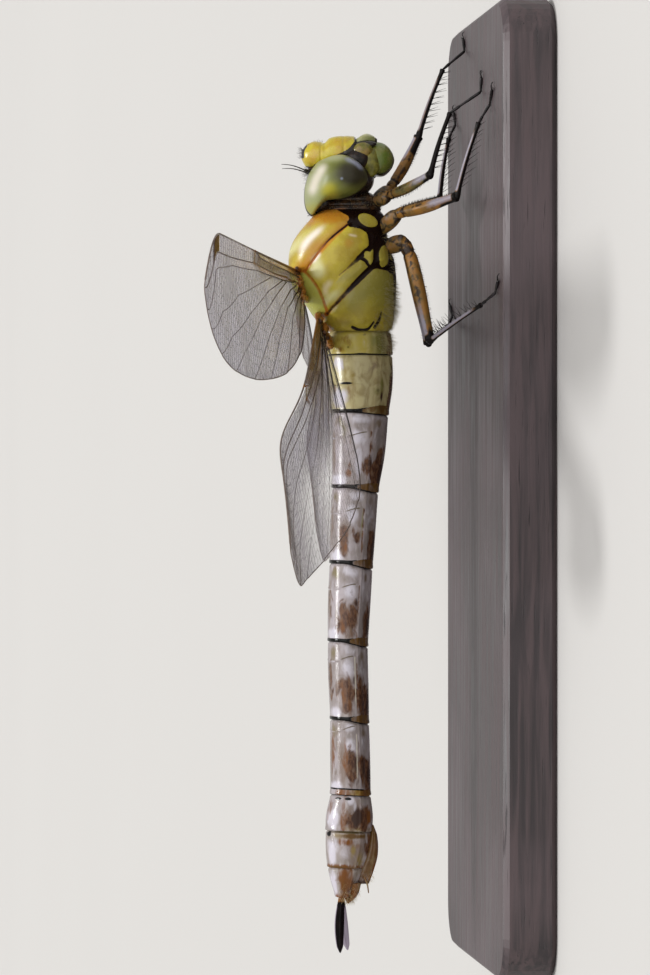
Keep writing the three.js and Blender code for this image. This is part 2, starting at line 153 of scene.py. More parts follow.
def row_at(table: Rows, places: Array | Sequence[float]) -> Array:
    """Reads a table between its rows by a cubic that passes through them.

    Args:
        table: Rows of numbers, the first of which is the place along the table.
        places: Places to read the table at, held inside its ends.

    Returns:
        One row for each place.
    """
    rows = np.array(sorted(tuple(row) for row in table), float)
    at = np.clip(np.asarray(places, float), rows[0, 0], rows[-1, 0])
    low = np.clip(np.searchsorted(rows[:, 0], at) - 1, 0, len(rows) - 2)
    first, second = rows[low], rows[low + 1]
    before, after = rows[np.maximum(low - 1, 0)], rows[np.minimum(low + 2, len(rows) - 1)]
    span = (second - first)[:, :1]
    t = (at[:, None] - first[:, :1]) / span
    slope_in = (second - before) / (second - before)[:, :1] * span
    slope_out = (after - first) / (after - first)[:, :1] * span
    cube = 2 * (first - second) + slope_in + slope_out
    square = 3 * (second - first) - 2 * slope_in - slope_out
    return ((cube * t + square) * t + slope_in) * t + first


def curve_through(points: Rows, count: int, closed: bool = False) -> Array:
    """Points at even steps along a smooth curve through some points.

    Args:
        points: Points that the curve passes through, in two or three dimensions.
        count: How many points to give.
        closed: Whether the curve returns to its first point, which is then not given twice.

    Returns:
        The points, one a row.
    """
    knots = np.asarray(points, float)
    lap = len(knots)
    if closed:
        knots = np.vstack([knots[-2:], knots, knots[:3]])
    steps = np.linalg.norm(np.diff(knots, axis=0), axis=1)
    run = np.concatenate([[0], np.cumsum(steps)])
    ends = (run[2], run[lap + 2]) if closed else (0, run[-1])
    places = np.linspace(*ends, count, endpoint=not closed)
    return row_at(np.column_stack([run, knots]), places)[:, 1:]


def distance_to(path: Array, points: Array) -> tuple[Array, Array]:
    """Finds how far points are from a path.

    Args:
        path: The path's corners, one a row.
        points: The points, one a row.

    Returns:
        The distance of each point, and how far along the path, from 0 to 1, its nearest place is.
    """
    nearest = np.full(len(points), np.inf)
    along = np.zeros(len(points))
    for i, (start, end) in enumerate(zip(path[:-1], path[1:])):
        step = end - start
        share = np.clip((points - start) @ step / max(step @ step, 1e-12), 0, 1)
        away = np.linalg.norm(points - start - share[:, None] * step, axis=1)
        closer = away < nearest
        nearest[closer] = away[closer]
        along[closer] = (i + share[closer]) / (len(path) - 1)
    return nearest, along


# --- Meshes ---


@dataclass
class Form:
    """The points, faces and marks of one piece while it is made, in millimetres.

    A mark is a number at each point that the piece's finish reads, such as how dark a band is.
    """

    points: list[Array] = field(default_factory=list)
    quads: list[Array] = field(default_factory=list)
    triangles: list[Array] = field(default_factory=list)
    marks: dict[str, list[Array]] = field(default_factory=dict)
    patches: list[Array] = field(default_factory=list)
    count: int = 0

    def add(self, points: Array, quads: Array, triangles: Array, marks: dict[str, Array]) -> None:
        """Adds points with their faces, which count from the first of these points."""
        self.points.append(points)
        self.quads.append(np.asarray(quads, int).reshape(-1, 4) + self.count)
        self.triangles.append(np.asarray(triangles, int).reshape(-1, 3) + self.count)
        self.count += len(points)
        for name, values in marks.items():
            self.marks.setdefault(name, []).append(np.broadcast_to(values, (len(points),)))

    def loft(self, rings: Array, **marks: Array | float) -> None:
        """Adds a closed skin through rings of equal length.

        Args:
            rings: The rings' points, as rings by sides by three.
            marks: Marks as numbers, or as arrays of rings by sides.
        """
        count, sides = rings.shape[:2]
        grid = np.arange(count * sides).reshape(count, sides)
        turned = np.roll(grid, -1, axis=1)
        quads = np.stack([grid[:-1], turned[:-1], turned[1:], grid[1:]], -1)
        ends = np.array([rings[0].mean(0), rings[-1].mean(0)])
        middle = grid.size
        caps = [
            np.stack([np.full(sides, middle), turned[0], grid[0]], -1),
            np.stack([np.full(sides, middle + 1), grid[-1], turned[-1]], -1),
        ]
        full = {}
        for name, values in marks.items():
            spread = np.broadcast_to(values, (count, sides))
            full[name] = np.concatenate([spread.ravel(), [spread[0].mean(), spread[-1].mean()]])
        self.add(np.vstack([rings.reshape(-1, 3), ends]), quads, np.vstack(caps), full)

    def limb(self, path: Array, radii: Array | float, sides: int = 8, **marks: Array | float) -> None:
        """Adds a round limb along a path.

        Args:
            path: The path's points.
            radii: One radius, or one at each point.
            sides: How many sides the limb has.
            marks: Marks as numbers, or as one number at each point of the path.
        """
        rings = rings_round(path, np.broadcast_to(radii, (len(path),)), sides)
        spread = {
            name: np.broadcast_to(np.reshape(values, (-1, 1)), (len(path), sides))
            for name, values in marks.items()
        }
        self.loft(rings, **spread)

    def blob(self, centre: Sequence[float], radii: Sequence[float], steps: int = 12, **marks: float) -> None:
        """Adds a rounded lump with its poles along X."""
        self.loft(np.asarray(centre) + globe(2 * steps, steps + 1, 0.03) * np.asarray(radii), **marks)

    def rods(
        self, starts: Array, ends: Array, roots: Array | float, tips: Array | float, **marks: Array | float
    ) -> None:
        """Adds thin straight rods of four sides.

        Args:
            starts: Where each rod starts.
            ends: Where each ends.
            roots: Their radii at the start.
            tips: Their radii at the end.
            marks: Marks as numbers, or as one number a rod.
        """
        count = len(starts)
        along = directions(ends - starts)
        upright = np.abs(along[:, 2:]) < 0.8
        across = directions(np.cross(along, np.where(upright, (0.0, 0.0, 1.0), (1.0, 0.0, 0.0))))
        other = np.cross(along, across)
        square = np.stack([across, other, -across, -other], 1)
        thick = [np.broadcast_to(radius, (count,))[:, None, None] for radius in (roots, tips)]
        points = np.concatenate([starts[:, None] + square * thick[0], ends[:, None] + square * thick[1]], 1)
        faces = np.array([(0, 3, 2, 1), (4, 5, 6, 7), (0, 1, 5, 4), (1, 2, 6, 5), (2, 3, 7, 6), (3, 0, 4, 7)])
        quads = faces + 8 * np.arange(count)[:, None, None]
        spread = {name: np.repeat(np.broadcast_to(values, (count,)), 8) for name, values in marks.items()}
        self.add(points.reshape(-1, 3), quads, np.zeros((0, 3)), spread)

    def make(
        self,
        name: str,
        finish: Material,
        slot: Slot,
        covers: Sequence[str] = (),
        placed: Callable[[Array], Array] = leaning,
    ) -> None:
        """Turns the form into a piece of the insect.

        Args:
            name: The piece's name.
            finish: Its material.
            slot: The record's slot that the finish stands for; not used.
            covers: The solids that the piece is seen instead of.
            placed: What turns the form's millimetres into places in the scene.
        """
        points = np.vstack(self.points)
        quads, triangles = np.vstack(self.quads), np.vstack(self.triangles)
        mesh = bpy.data.meshes.new(name)
        mesh.vertices.add(len(points))
        mesh.vertices.foreach_set("co", placed(points).ravel())
        corners = np.concatenate([quads.ravel(), triangles.ravel()])
        sizes = np.concatenate([np.full(len(quads), 4), np.full(len(triangles), 3)])
        mesh.loops.add(len(corners))
        mesh.loops.foreach_set("vertex_index", corners)
        mesh.polygons.add(len(sizes))
        mesh.polygons.foreach_set("loop_start", np.cumsum(sizes) - sizes)
        mesh.polygons.foreach_set("use_smooth", np.ones(len(sizes), bool))
        place = mesh.attributes.new("place", "FLOAT_VECTOR", "POINT")
        place.data.foreach_set("vector", points.astype(np.float32).ravel())
        for mark, values in self.marks.items():
            layer = mesh.attributes.new(mark, "FLOAT", "POINT")
            layer.data.foreach_set("value", np.concatenate(values).astype(np.float32))
        if self.patches:
            chart = mesh.uv_layers.new(name="OFBake")
            chart.data.foreach_set("uv", np.vstack(self.patches)[corners].astype(np.float32).ravel())
        mesh.update(calc_edges=True)
        turn_outward(mesh)
        mesh.materials.append(finish)
        piece = bpy.data.objects.new(name, mesh)
        bpy.context.collection.objects.link(piece)
        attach(piece, "root")
        if covers:
            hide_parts(*covers)
        LOG.info("%s: %d faces", name, len(sizes))


def turn_outward(mesh: bpy.types.Mesh) -> None:
    """Turns every face of a mesh outward."""
    work = bmesh.new()
    work.from_mesh(mesh)
    bmesh.ops.recalc_face_normals(work, faces=work.faces)
    work.to_mesh(mesh)
    work.free()


def globe(around: int, steps: int, gap: float) -> Array:
    """Rings of points on a ball of radius 1, from pole to pole along X with a gap in radians at each."""
    turn = turns(around)
    fall = np.linspace(gap, np.pi - gap, steps)[:, None]
    return np.stack([np.cos(fall) + 0 * turn, np.sin(fall) * np.cos(turn), np.sin(fall) * np.sin(turn)], -1)


def rings_round(path: Array, radii: Array, sides: int) -> Array:
    """Rings of points round a path, each square to it.

    Args:
        path: The path's points.
        radii: The radius at each point.
        sides: How many points each ring has.

    Returns:
        The rings, as points by sides by three.
    """
    path = np.asarray(path, float)
    along = directions(np.gradient(path, axis=0))
    lean = np.abs(along).mean(0)
    reference = np.eye(3)[int(np.argmin(lean))]
    across = directions(np.cross(along, reference))
    other = np.cross(along, across)
    turn = turns(sides)
    round_trip = across[:, None] * np.cos(turn)[:, None] + other[:, None] * np.sin(turn)[:, None]
    return path[:, None] + round_trip * np.asarray(radii, float)[:, None, None]


def barrel(rows: Array, sides: int) -> tuple[Array, Array]:
    """Rings of a barrel along X.

    Args:
        rows: Rows of place along X, back, belly and half width.
        sides: How many points each ring has, from the back round by the left.

    Returns:
        The rings, and how far round from the back to the belly each point is, from 0 to 1.
    """
    turn = turns(sides)
    x, back, belly, half = (rows[:, k, None] for k in range(4))
    high = (back + belly) / 2 + (back - belly) / 2 * np.cos(turn)
    rings = np.stack([x * np.ones_like(turn), half * np.sin(turn), high], -1)
    down = np.broadcast_to(1 - np.abs(1 - turn / np.pi), rings.shape[:2])
    return rings, down


def swollen(rings: Array, amount: Array, axis: int = 0) -> Array:
    """Rings that run along an axis, pushed out from their middles by an amount at each point."""
    away = rings - rings.mean(axis=1, keepdims=True)
    away[..., axis] = 0
    length = np.linalg.norm(away, axis=-1, keepdims=True)
    return rings + away / np.maximum(length, 1e-6) * np.asarray(amount)[..., None]


# --- Finishes ---


def tint(code: str) -> tuple[float, float, float, float]:
    """A colour from its six-figure code, as light by the sRGB curve."""
    parts = [int(code[i : i + 2], 16) / 255 for i in (1, 3, 5)]
    light = [part / 12.92 if part <= 0.04045 else ((part + 0.055) / 1.055) ** 2.4 for part in parts]
    return (*light, 1.0)


Socket = bpy.types.NodeSocket
Value = Socket | float


class Recipe:
    """The nodes of one finish, added by short calls. Textures are scaled for millimetres."""

    def __init__(self, name: str, **surface: float | Place) -> None:
        """Starts a finish whose surface has some uniform values.

        Args:
            name: The finish's name.
            surface: Values of the surface's own sockets, with _ for a space in their names.
        """
        self.material = bpy.data.materials.new(name)
        self.material.use_nodes = True
        self.tree = self.material.node_tree
        self.tree.nodes.clear()
        self.surface = self.tree.nodes.new("ShaderNodeBsdfPrincipled")
        output = self.tree.nodes.new("ShaderNodeOutputMaterial")
        self.tree.links.new(self.surface.outputs["BSDF"], output.inputs["Surface"])
        for socket, value in surface.items():
            self.surface.inputs[socket.replace("_", " ")].default_value = value
        self.place = self.node("Attribute", {"attribute_name": "place"}).outputs["Vector"]

    def node(self, kind: str, options: dict | None = None, inputs: dict | None = None) -> bpy.types.Node:
        """Adds a node.

        Args:
            kind: The node's type, after ShaderNode.
            options: Its settings.
            inputs: What its inputs hold or are fed from, by name or place.

        Returns:
            The node.
        """
        made = self.tree.nodes.new("ShaderNode" + kind)
        for name, value in (options or {}).items():
            setattr(made, name, value)
        for name, value in (inputs or {}).items():
            self.feed(made.inputs[name], value)
        return made

    def feed(self, socket: Socket, value: Value | tuple) -> None:
        """Links or sets a socket."""
        if isinstance(value, bpy.types.NodeSocket):
            self.tree.links.new(value, socket)
        else:
            socket.default_value = value

    def mark(self, name: str) -> Socket:
        """One of the piece's marks."""
        return self.node("Attribute", {"attribute_name": name}).outputs["Fac"]

    def stretched(self, factors: Place) -> Socket:
        """The place on the body, scaled by a factor along each axis."""
        options = {"operation": "MULTIPLY"}
        return self.node("VectorMath", options, {0: self.place, 1: factors}).outputs[0]

    def noise(self, scale: float, detail: float = 3, stretch: Place = (1, 1, 1), warp: float = 0) -> Socket:
        """Cloudy noise, with a scale in cycles a millimetre."""
        inputs = {"Vector": self.stretched(stretch), "Scale": scale, "Detail": detail, "Distortion": warp}
        return self.node("TexNoise", None, inputs).outputs[0]

    def cells(self, scale: float, feature: str = "F1") -> Socket:
        """Distances inside a pattern of cells, with a scale in cells a millimetre."""
        inputs = {"Vector": self.place, "Scale": scale}
        return self.node("TexVoronoi", {"feature": feature}, inputs).outputs["Distance"]

    def calc(self, operation: str, first: Value, second: Value = 0.0) -> Socket:
        """A sum on two values."""
        return self.node("Math", {"operation": operation}, {0: first, 1: second}).outputs[0]

    def step(self, value: Value, start: float, end: float, low: float = 0, high: float = 1) -> Socket:
        """A smooth step from low at start to high at end."""
        inputs = {"Value": value, "From Min": start, "From Max": end, "To Min": low, "To Max": high}
        return self.node("MapRange", {"interpolation_type": "SMOOTHSTEP"}, inputs).outputs[0]

    def ragged(self, name: str, noise: Socket, reach: float, start: float, end: float) -> Socket:
        """A mark whose edge wanders with a noise.

        Args:
            name: The mark.
            noise: The noise, about 0.5.
            reach: How much of the mark's value the noise adds or takes.
            start: The value at which the marking begins to show.
            end: The value at which it shows in full.

        Returns:
            How strongly the marking shows, from 0 to 1.
        """
        centred = self.calc("SUBTRACT", noise, 0.5)
        wander = self.calc("MULTIPLY", centred, 2 * reach)
        return self.step(self.calc("ADD", self.mark(name), wander), start, end)

    def darken_gloss(self, name: str, bright: float, dull: float) -> None:
        """Weakens the surface's reflections where a mark is strong."""
        share = self.step(self.mark(name), 0.3, 0.8, bright, dull)
        self.feed(self.surface.inputs["Specular IOR Level"], share)

    def mix(self, amount: Value, first: Socket | str, second: Socket | str) -> Socket:
        """A blend of two colours, which are codes or sockets."""
        made = self.node("Mix", {"data_type": "RGBA"}, {0: amount})
        for place, colour in ((6, first), (7, second)):
            self.feed(made.inputs[place], tint(colour) if isinstance(colour, str) else colour)
        return made.outputs[2]

    def between(
        self, noise: Socket, start: float, end: float, *colours: Socket | str, most: float = 1
    ) -> Socket:
        """A blend that turns from one of two colours to the other where a noise goes from start to end."""
        return self.mix(self.step(noise, start, end, 0, most), *colours)

    def layers(self, ground: Socket | str, *coats: tuple) -> Socket:
        """A ground colour with coats over it.

        Args:
            ground: The colour below.
            coats: Each is a share and a colour, or what ragged() takes and a colour.

        Returns:
            The colour.
        """
        shares = [coat[0] if len(coat) == 2 else self.ragged(*coat[:-1]) for coat in coats]
        colour = ground
        for share, coat in zip(shares, coats):
            colour = self.mix(share, colour, coat[-1])
        return colour

    def bump(self, height: Value, strength: float, depth: float, under: Socket | None = None) -> Socket:
        """Relief of some depth in millimetres, over other relief."""
        inputs = {"Strength": strength, "Distance": depth * MM, "Height": height}
        if under is not None:
            inputs["Normal"] = under
        return self.node("Bump", None, inputs).outputs[0]

    def finish(self, colour: Socket, roughness: Socket | None, normal: Socket | None) -> Material:
        """Feeds the surface and gives the material."""
        self.feed(self.surface.inputs["Base Color"], colour)
        if roughness is not None:
            self.feed(self.surface.inputs["Roughness"], roughness)
        if normal is not None:
            self.feed(self.surface.inputs["Normal"], normal)
        return self.material


@dataclass(frozen=True)
class Gloss:
    """How a cuticle shines: its roughness where polished and where dull, and its fine relief."""

    polished: float = 0.2
    dull: float = 0.42
    grain: float = 22.0
    depth: float = 0.012
    undulation: float = 0.05

    def lay(self, recipe: Recipe) -> tuple[Socket, Socket]:
        """Makes the shine of a cuticle.

        Args:
            recipe: The finish that the cuticle belongs to.

        Returns:
            The roughness and the normal.
        """
        patches = recipe.noise(1.3, 3)
        roughness = recipe.step(patches, 0.3, 0.75, self.polished, self.dull)
        waves = recipe.bump(recipe.noise(1.8, 2), 0.5, self.undulation)
        pits = recipe.bump(recipe.noise(self.grain, 2), 0.6, self.depth, waves)
        return roughness, pits


@dataclass(frozen=True)
class ThoraxFinish:
    """Yellow, olive and orange plates with dark sutures, as in the first hours after emergence, with painted
    highlights.
    """

    gloss: Gloss = Gloss(0.16, 0.34)

    def make(self) -> Material:
        """Makes the material."""
        flesh = {"Subsurface_Weight": 0.12, "Subsurface_Radius": (0.0007, 0.0005, 0.0002)}
        recipe = Recipe("thorax_cuticle", Coat_Weight=0.12, Coat_Roughness=0.16, IOR=1.5, **flesh)
        recipe.darken_gloss("dark", 0.28, 0.08)
        cloud, fine = recipe.noise(0.55, 4), recipe.noise(2.6, 4)
        speckle = recipe.noise(9, 3)
        ground = recipe.between(cloud, 0.38, 0.66, "#bfad3a", "#a8922f")
        colour = recipe.layers(
            ground,
            ("amber", cloud, 0.25, 0.3, 0.95, "#bd7c26"),
            ("green", fine, 0.2, 0.25, 0.95, "#a5a44a"),
            ("olive", cloud, 0.25, 0.2, 0.95, "#8b833a"),
            # Softer painted highlights: pale patches on the plates where the lamps would shine.
            ("pale", cloud, 0.3, 0.12, 1.15, "#d6d196"),
            # Painted highlights: near-white patches where the lamps would shine on the plates.
            ("painted_sheen", cloud, 0.15, 0.04, 1.25, "#f6ece2"),
            (recipe.step(speckle, 0.6, 0.8, 0, 0.25), "#8a7424"),
            ("rust", fine, 0.25, 0.25, 0.9, "#9c5a1a"),
            ("dark", fine, 0.16, 0.28, 0.7, "#170b07"),
        )
        return recipe.finish(colour, *self.gloss.lay(recipe))


@dataclass(frozen=True)
class AbdomenFinish:
    """Milky cuticle with brown blotches under it and a black band at the end of each ring."""

    name: str = "abdomen_cuticle"
    gloss: Gloss = Gloss(0.12, 0.26, undulation=0.035)

    def make(self) -> Material:
        """Makes the material."""
        flesh = {"Subsurface_Weight": 0.1, "Subsurface_Radius": (0.0006, 0.0005, 0.0004)}
        recipe = Recipe(self.name, Coat_Weight=0.12, Coat_Roughness=0.1, IOR=1.5, **flesh)
        recipe.darken_gloss("black", 0.28, 0.12)
        cloud = recipe.noise(0.45, 4, (0.6, 1, 1))
        mottle = recipe.noise(1.2, 7, (0.6, 1, 1), 0.7)
        streak = recipe.noise(2.4, 6, (0.4, 1, 1), 0.5)
        fine = recipe.noise(5, 4, (0.5, 1, 1))
        ground = recipe.between(cloud, 0.35, 0.65, "#aaa1a5", "#8b817e")
        ground = recipe.between(streak, 0.5, 0.75, ground, "#7a6e66", most=0.7)
        ground = recipe.between(streak, 0.48, 0.25, ground, "#c0b8b9", most=0.6)
        warm = recipe.between(mottle, 0.38, 0.66, "#b5aa7f", "#94855a")
        brown = recipe.between(fine, 0.35, 0.65, "#46291b", "#694831")
        brown = recipe.between(streak, 0.5, 0.72, brown, "#84705f", most=0.5)
        colour = recipe.mix(recipe.ragged("cream", cloud, 0.15, 0.1, 0.9), ground, warm)
        colour = recipe.layers(
            colour,
            ("shade", mottle, 0.7, 0.25, 0.95, "#7d6c62"),
            ("yellow", mottle, 0.5, 0.1, 1.0, "#b0a040"),
            ("gold", mottle, 0.6, 0.15, 1.0, "#8f7a33"),
            ("green", mottle, 0.5, 0.2, 1.0, "#77733c"),
            ("milk", mottle, 0.65, 0.25, 0.85, "#c8c3cc"),
        )
        colour = recipe.mix(recipe.ragged("brown", mottle, 0.9, 0.35, 0.75), colour, brown)
        colour = recipe.layers(
            colour,
            ("rust", streak, 0.8, 0.3, 0.95, "#704216"),
            ("deep", mottle, 0.8, 0.35, 0.95, "#38231a"),
            ("amber", mottle, 0.5, 0.3, 0.9, "#5e421c"),
            ("line", fine, 0.15, 0.3, 0.8, "#564931"),
            # Painted glint: a near-white line along the lateral ridge.
            ("keel", fine, 0.1, 0.35, 0.8, "#e4dcc6"),
            ("black", fine, 0.12, 0.35, 0.6, "#080504"),
        )
        return recipe.finish(colour, *self.gloss.lay(recipe))


@dataclass(frozen=True)
class DarkFinish:
    """Dark brown cuticle with tan places."""

    name: str = "dark_cuticle"
    deep: str = "#1b110c"
    light: str = "#4a321c"
    gloss: Gloss = Gloss(0.2, 0.45)

    def make(self) -> Material:
        """Makes the material."""
        recipe = Recipe(self.name, Coat_Weight=0.1, Coat_Roughness=0.2, Specular_IOR_Level=0.3)
        fine = recipe.noise(2.2, 4)
        ground = recipe.between(fine, 0.4, 0.68, self.deep, self.light)
        colour = recipe.layers(
            ground,
            ("amber", fine, 0.2, 0.3, 0.8, "#a8672a"),
            ("green", fine, 0.2, 0.3, 0.8, "#8f8b34"),
        )
        return recipe.finish(colour, *self.gloss.lay(recipe))


@dataclass(frozen=True)
class WoodFinish:
    """Dark stained wood with a fine grain along the base."""

    def make(self) -> Material:
        """Makes the material."""
        recipe = Recipe("base_wood", Coat_Weight=0.15, Coat_Roughness=0.3)
        coordinates = recipe.node("TexCoord").outputs["Object"]
        options = {"operation": "SCALE"}
        recipe.place = recipe.node("VectorMath", options, {0: coordinates, "Scale": 1 / MM}).outputs[0]
        grain = recipe.noise(1.6, 6, (0.05, 1, 1), 0.6)
        pores = recipe.noise(6, 4, (0.04, 1, 1))
        cloud = recipe.noise(0.06, 3)
        colour = recipe.between(grain, 0.35, 0.65, "#2b2326", "#4b3d3f")
        colour = recipe.between(cloud, 0.4, 0.7, colour, "#5a4c50", most=0.55)
        colour = recipe.between(pores, 0.62, 0.72, colour, "#171013", most=0.8)
        roughness = recipe.step(grain, 0.3, 0.7, 0.38, 0.6)
        relief = recipe.bump(grain, 0.5, 0.08)
        relief = recipe.bump(recipe.step(pores, 0.6, 0.75, 1, 0), 0.6, 0.06, relief)
        return recipe.finish(colour, roughness, relief)


@dataclass(frozen=True)
class FloorFinish:
    """Pale matt paper."""

    def make(self) -> Material:
        """Makes the material."""
        recipe = Recipe("floor_paper", Roughness=0.85)
        recipe.place = recipe.node("TexCoord").outputs["Object"]
        colour = recipe.mix(recipe.noise(1.5, 2), "#cbc9c6", "#d1cfcc")
        return recipe.finish(colour, None, None)


@dataclass(frozen=True)
class EyeFinish:
    """Glossy olive eyes with a dusky cloud, still milky after emergence, with painted highlights and a
    painted rim reflection.
    """

    facets: float = 24.0

    def make(self) -> Material:
        """Makes the material."""
        flesh = {"Subsurface_Weight": 0.15, "Subsurface_Radius": (0.0005, 0.0006, 0.0002)}
        surface = {"Coat_Weight": 0.2, "Coat_Roughness": 0.3, "IOR": 1.45, "Specular_IOR_Level": 0.35}
        recipe = Recipe("eye", **surface, **flesh)
        cloud = recipe.noise(0.5, 3)
        ground = recipe.between(cloud, 0.35, 0.65, "#7c803c", "#6a7030")
        colour = recipe.layers(
            ground,
            # Painted light: the upper part of the eye and its front rim made lighter.
            ("pale", cloud, 0.15, 0.1, 1.0, "#a8ac80"),
            ("gold", cloud, 0.15, 0.15, 1.0, "#a69e30"),
            ("dusk", cloud, 0.2, 0.1, 0.95, "#302c1b"),
            # Painted highlight: a broad cream band where the lamps would shine.
            ("painted_sheen", cloud, 0.1, 0.03, 1.2, "#ddd4c6"),
            # Painted reflection: a bluish band along the front rim.
            ("painted_rim_reflection", cloud, 0.1, 0.15, 1.0, "#9a9fb8"),
            ("spot", cloud, 0.05, 0.3, 1.0, "#8a93a8"),
            ("rim", cloud, 0.05, 0.3, 0.9, "#15130c"),
        )
        facets = recipe.bump(recipe.cells(self.facets), 0.25, 0.006)
        roughness = recipe.step(cloud, 0.3, 0.7, 0.36, 0.46)
        return recipe.finish(colour, roughness, facets)


@dataclass(frozen=True)
class FaceFinish:
    """Yellow and green face plates with black seams, fine pits and painted highlights."""

    name: str
    ground: str
    other: str
    gloss: Gloss = Gloss(0.22, 0.4, 9.0, 0.02)

    def make(self) -> Material:
        """Makes the material."""
        flesh = {"Subsurface_Weight": 0.12, "Subsurface_Radius": (0.0006, 0.0005, 0.0002)}
        recipe = Recipe(self.name, Coat_Weight=0.25, Coat_Roughness=0.15, **flesh)
        cloud, fine = recipe.noise(0.9, 4), recipe.noise(4, 3)
        ground = recipe.between(cloud, 0.38, 0.66, self.ground, self.other)
        colour = recipe.layers(
            ground,
            ("amber", cloud, 0.25, 0.25, 0.95, "#bd8526"),
            # pale: painted highlights on the face and lips, over the upper lip's own pale green and the
            # occiput spot's own pale tone
            ("pale", fine, 0.1, 0.25, 0.9, "#e6e3b0"),
            (recipe.step(fine, 0.62, 0.78, 0, 0.3), "#7d6d20"),
            ("dark", fine, 0.12, 0.3, 0.65, "#18110b"),
        )
        return recipe.finish(colour, *self.gloss.lay(recipe))


@dataclass(frozen=True)
class LensFinish:
    """The clear glossy cuticle of the small eyes on the crown."""

    def make(self) -> Material:
        """Makes the material."""
        recipe = Recipe("lens", Coat_Weight=1.0, Coat_Roughness=0.03, Roughness=0.12)
        cloud = recipe.noise(4, 2)
        colour = recipe.between(cloud, 0.3, 0.7, "#c9b57a", "#7d6a35")
        return recipe.finish(colour, None, recipe.bump(cloud, 0.2, 0.01))


@dataclass(frozen=True)
class LegFinish:
    """Orange-brown legs that turn black towards the feet, with a painted highlight along the upper edge."""

    gloss: Gloss = Gloss(0.34, 0.6, 14.0, 0.025)

    def make(self) -> Material:
        """Makes the material."""
        recipe = Recipe("leg_cuticle")
        recipe.darken_gloss("black", 0.35, 0.15)
        cloud, fine = recipe.noise(0.8, 4), recipe.noise(3.5, 4)
        blotch = recipe.step(recipe.noise(1.5, 6, (1, 1, 1), 0.65), 0.36, 0.64)
        ground = recipe.between(cloud, 0.35, 0.65, "#7a5b2c", "#94662a")
        colour = recipe.layers(
            ground,
            ("olive", blotch, 0.25, 0.25, 0.9, "#6a6238"),
            ("brown", blotch, 0.4, 0.35, 0.9, "#2f2014"),
            # pale: the painted highlight along each leg's upper edge
            ("pale", fine, 0.25, 0.3, 0.95, "#918c98"),
            ("black", fine, 0.2, 0.3, 0.75, "#130e0d"),
        )
        return recipe.finish(colour, *self.gloss.lay(recipe))


@dataclass(frozen=True)
class HairFinish:
    """Stiff hairs that are darker at the root than at the tip, or the other way round."""

    name: str
    root: str
    tip: str
    roughness: float = 0.45

    def make(self) -> Material:
        """Makes the material."""
        recipe = Recipe(self.name, Roughness=self.roughness, Sheen_Weight=0.2)
        shade = recipe.noise(1.2, 2)
        colour = recipe.mix(recipe.ragged("tip", shade, 0.2, 0.1, 0.9), self.root, self.tip)
        return recipe.finish(colour, None, recipe.bump(recipe.noise(12, 2), 0.3, 0.01))


@dataclass(frozen=True)
class AppendageFinish:
    """Dark brown leaves with pale translucent edges."""

    def make(self) -> Material:
        """Makes the material."""
        recipe = Recipe("appendage_cuticle", Coat_Weight=0.05, Coat_Roughness=0.2, Specular_IOR_Level=0.08)
        fine = recipe.noise(3, 4, (0.3, 1, 1))
        ground = recipe.between(fine, 0.4, 0.65, "#0a0607", "#170e0d")
        colour = recipe.layers(
            ground,
            ("edge", fine, 0.15, 0.3, 0.8, "#8f8592"),
            ("base", fine, 0.2, 0.3, 0.8, "#8a5a28"),
        )
        return recipe.finish(colour, *Gloss(0.2, 0.4).lay(recipe))


@dataclass(frozen=True)
class MembraneFinish:
    """Fresh wing membrane: clear, still milky, with a weak play of colours."""

    clear: float = 0.42
    dense: float = 0.52

    def make(self) -> Material:
        """Makes the material."""
        surface = {"Thin_Film_Thickness": 320.0, "Thin_Film_IOR": 1.4, "IOR": 1.5, "Specular_IOR_Level": 0.6}
        recipe = Recipe("wing_membrane", **surface)
        cloud, streak = recipe.noise(0.25, 4), recipe.noise(1.2, 5, (0.4, 1, 1), 0.3)
        ground = recipe.between(cloud, 0.35, 0.65, "#b7b3c2", "#a8a4aa")
        colour = recipe.layers(
            ground,
            ("smoke", streak, 0.2, 0.2, 0.9, "#8f8b9a"),
            ("root", cloud, 0.2, 0.2, 0.9, "#a08a60"),
            ("amber", cloud, 0.2, 0.25, 0.9, "#73502a"),
            (recipe.mark("stigma"), "#4a2f1c"),
        )
        density = recipe.step(streak, 0.3, 0.7, self.clear, self.dense)
        density = recipe.calc("MULTIPLY", density, recipe.mark("haze"))
        density = recipe.calc("ADD", density, recipe.calc("MULTIPLY", recipe.mark("amber"), 0.35))
        density = recipe.calc("MAXIMUM", density, recipe.mark("stigma"))
        recipe.feed(recipe.surface.inputs["Alpha"], density)
        ripple = recipe.bump(recipe.noise(2.2, 3), 0.35, 0.03)
        return recipe.finish(colour, recipe.step(cloud, 0.3, 0.7, 0.14, 0.3), ripple)


@dataclass(frozen=True)
class VeinFinish:
    """Brown veins, nearly black at the wing's root, amber along the front edge, faint in the net."""

    def make(self) -> Material:
        """Makes the material."""
        recipe = Recipe("wing_vein", Specular_IOR_Level=0.3, Roughness=0.4)
        fine = recipe.noise(2.5, 3)
        ground = recipe.between(fine, 0.35, 0.65, "#7d7069", "#665952")
        dark = recipe.mix(recipe.ragged("dark", fine, 0.15, 0.3, 0.95), ground, "#241a15")
        colour = recipe.mix(recipe.ragged("amber", fine, 0.15, 0.25, 0.9), dark, "#8a5a26")
        recipe.feed(recipe.surface.inputs["Alpha"], recipe.step(recipe.mark("faint"), 0, 1, 1.0, 0.12))
        return recipe.finish(colour, None, recipe.bump(fine, 0.3, 0.015))


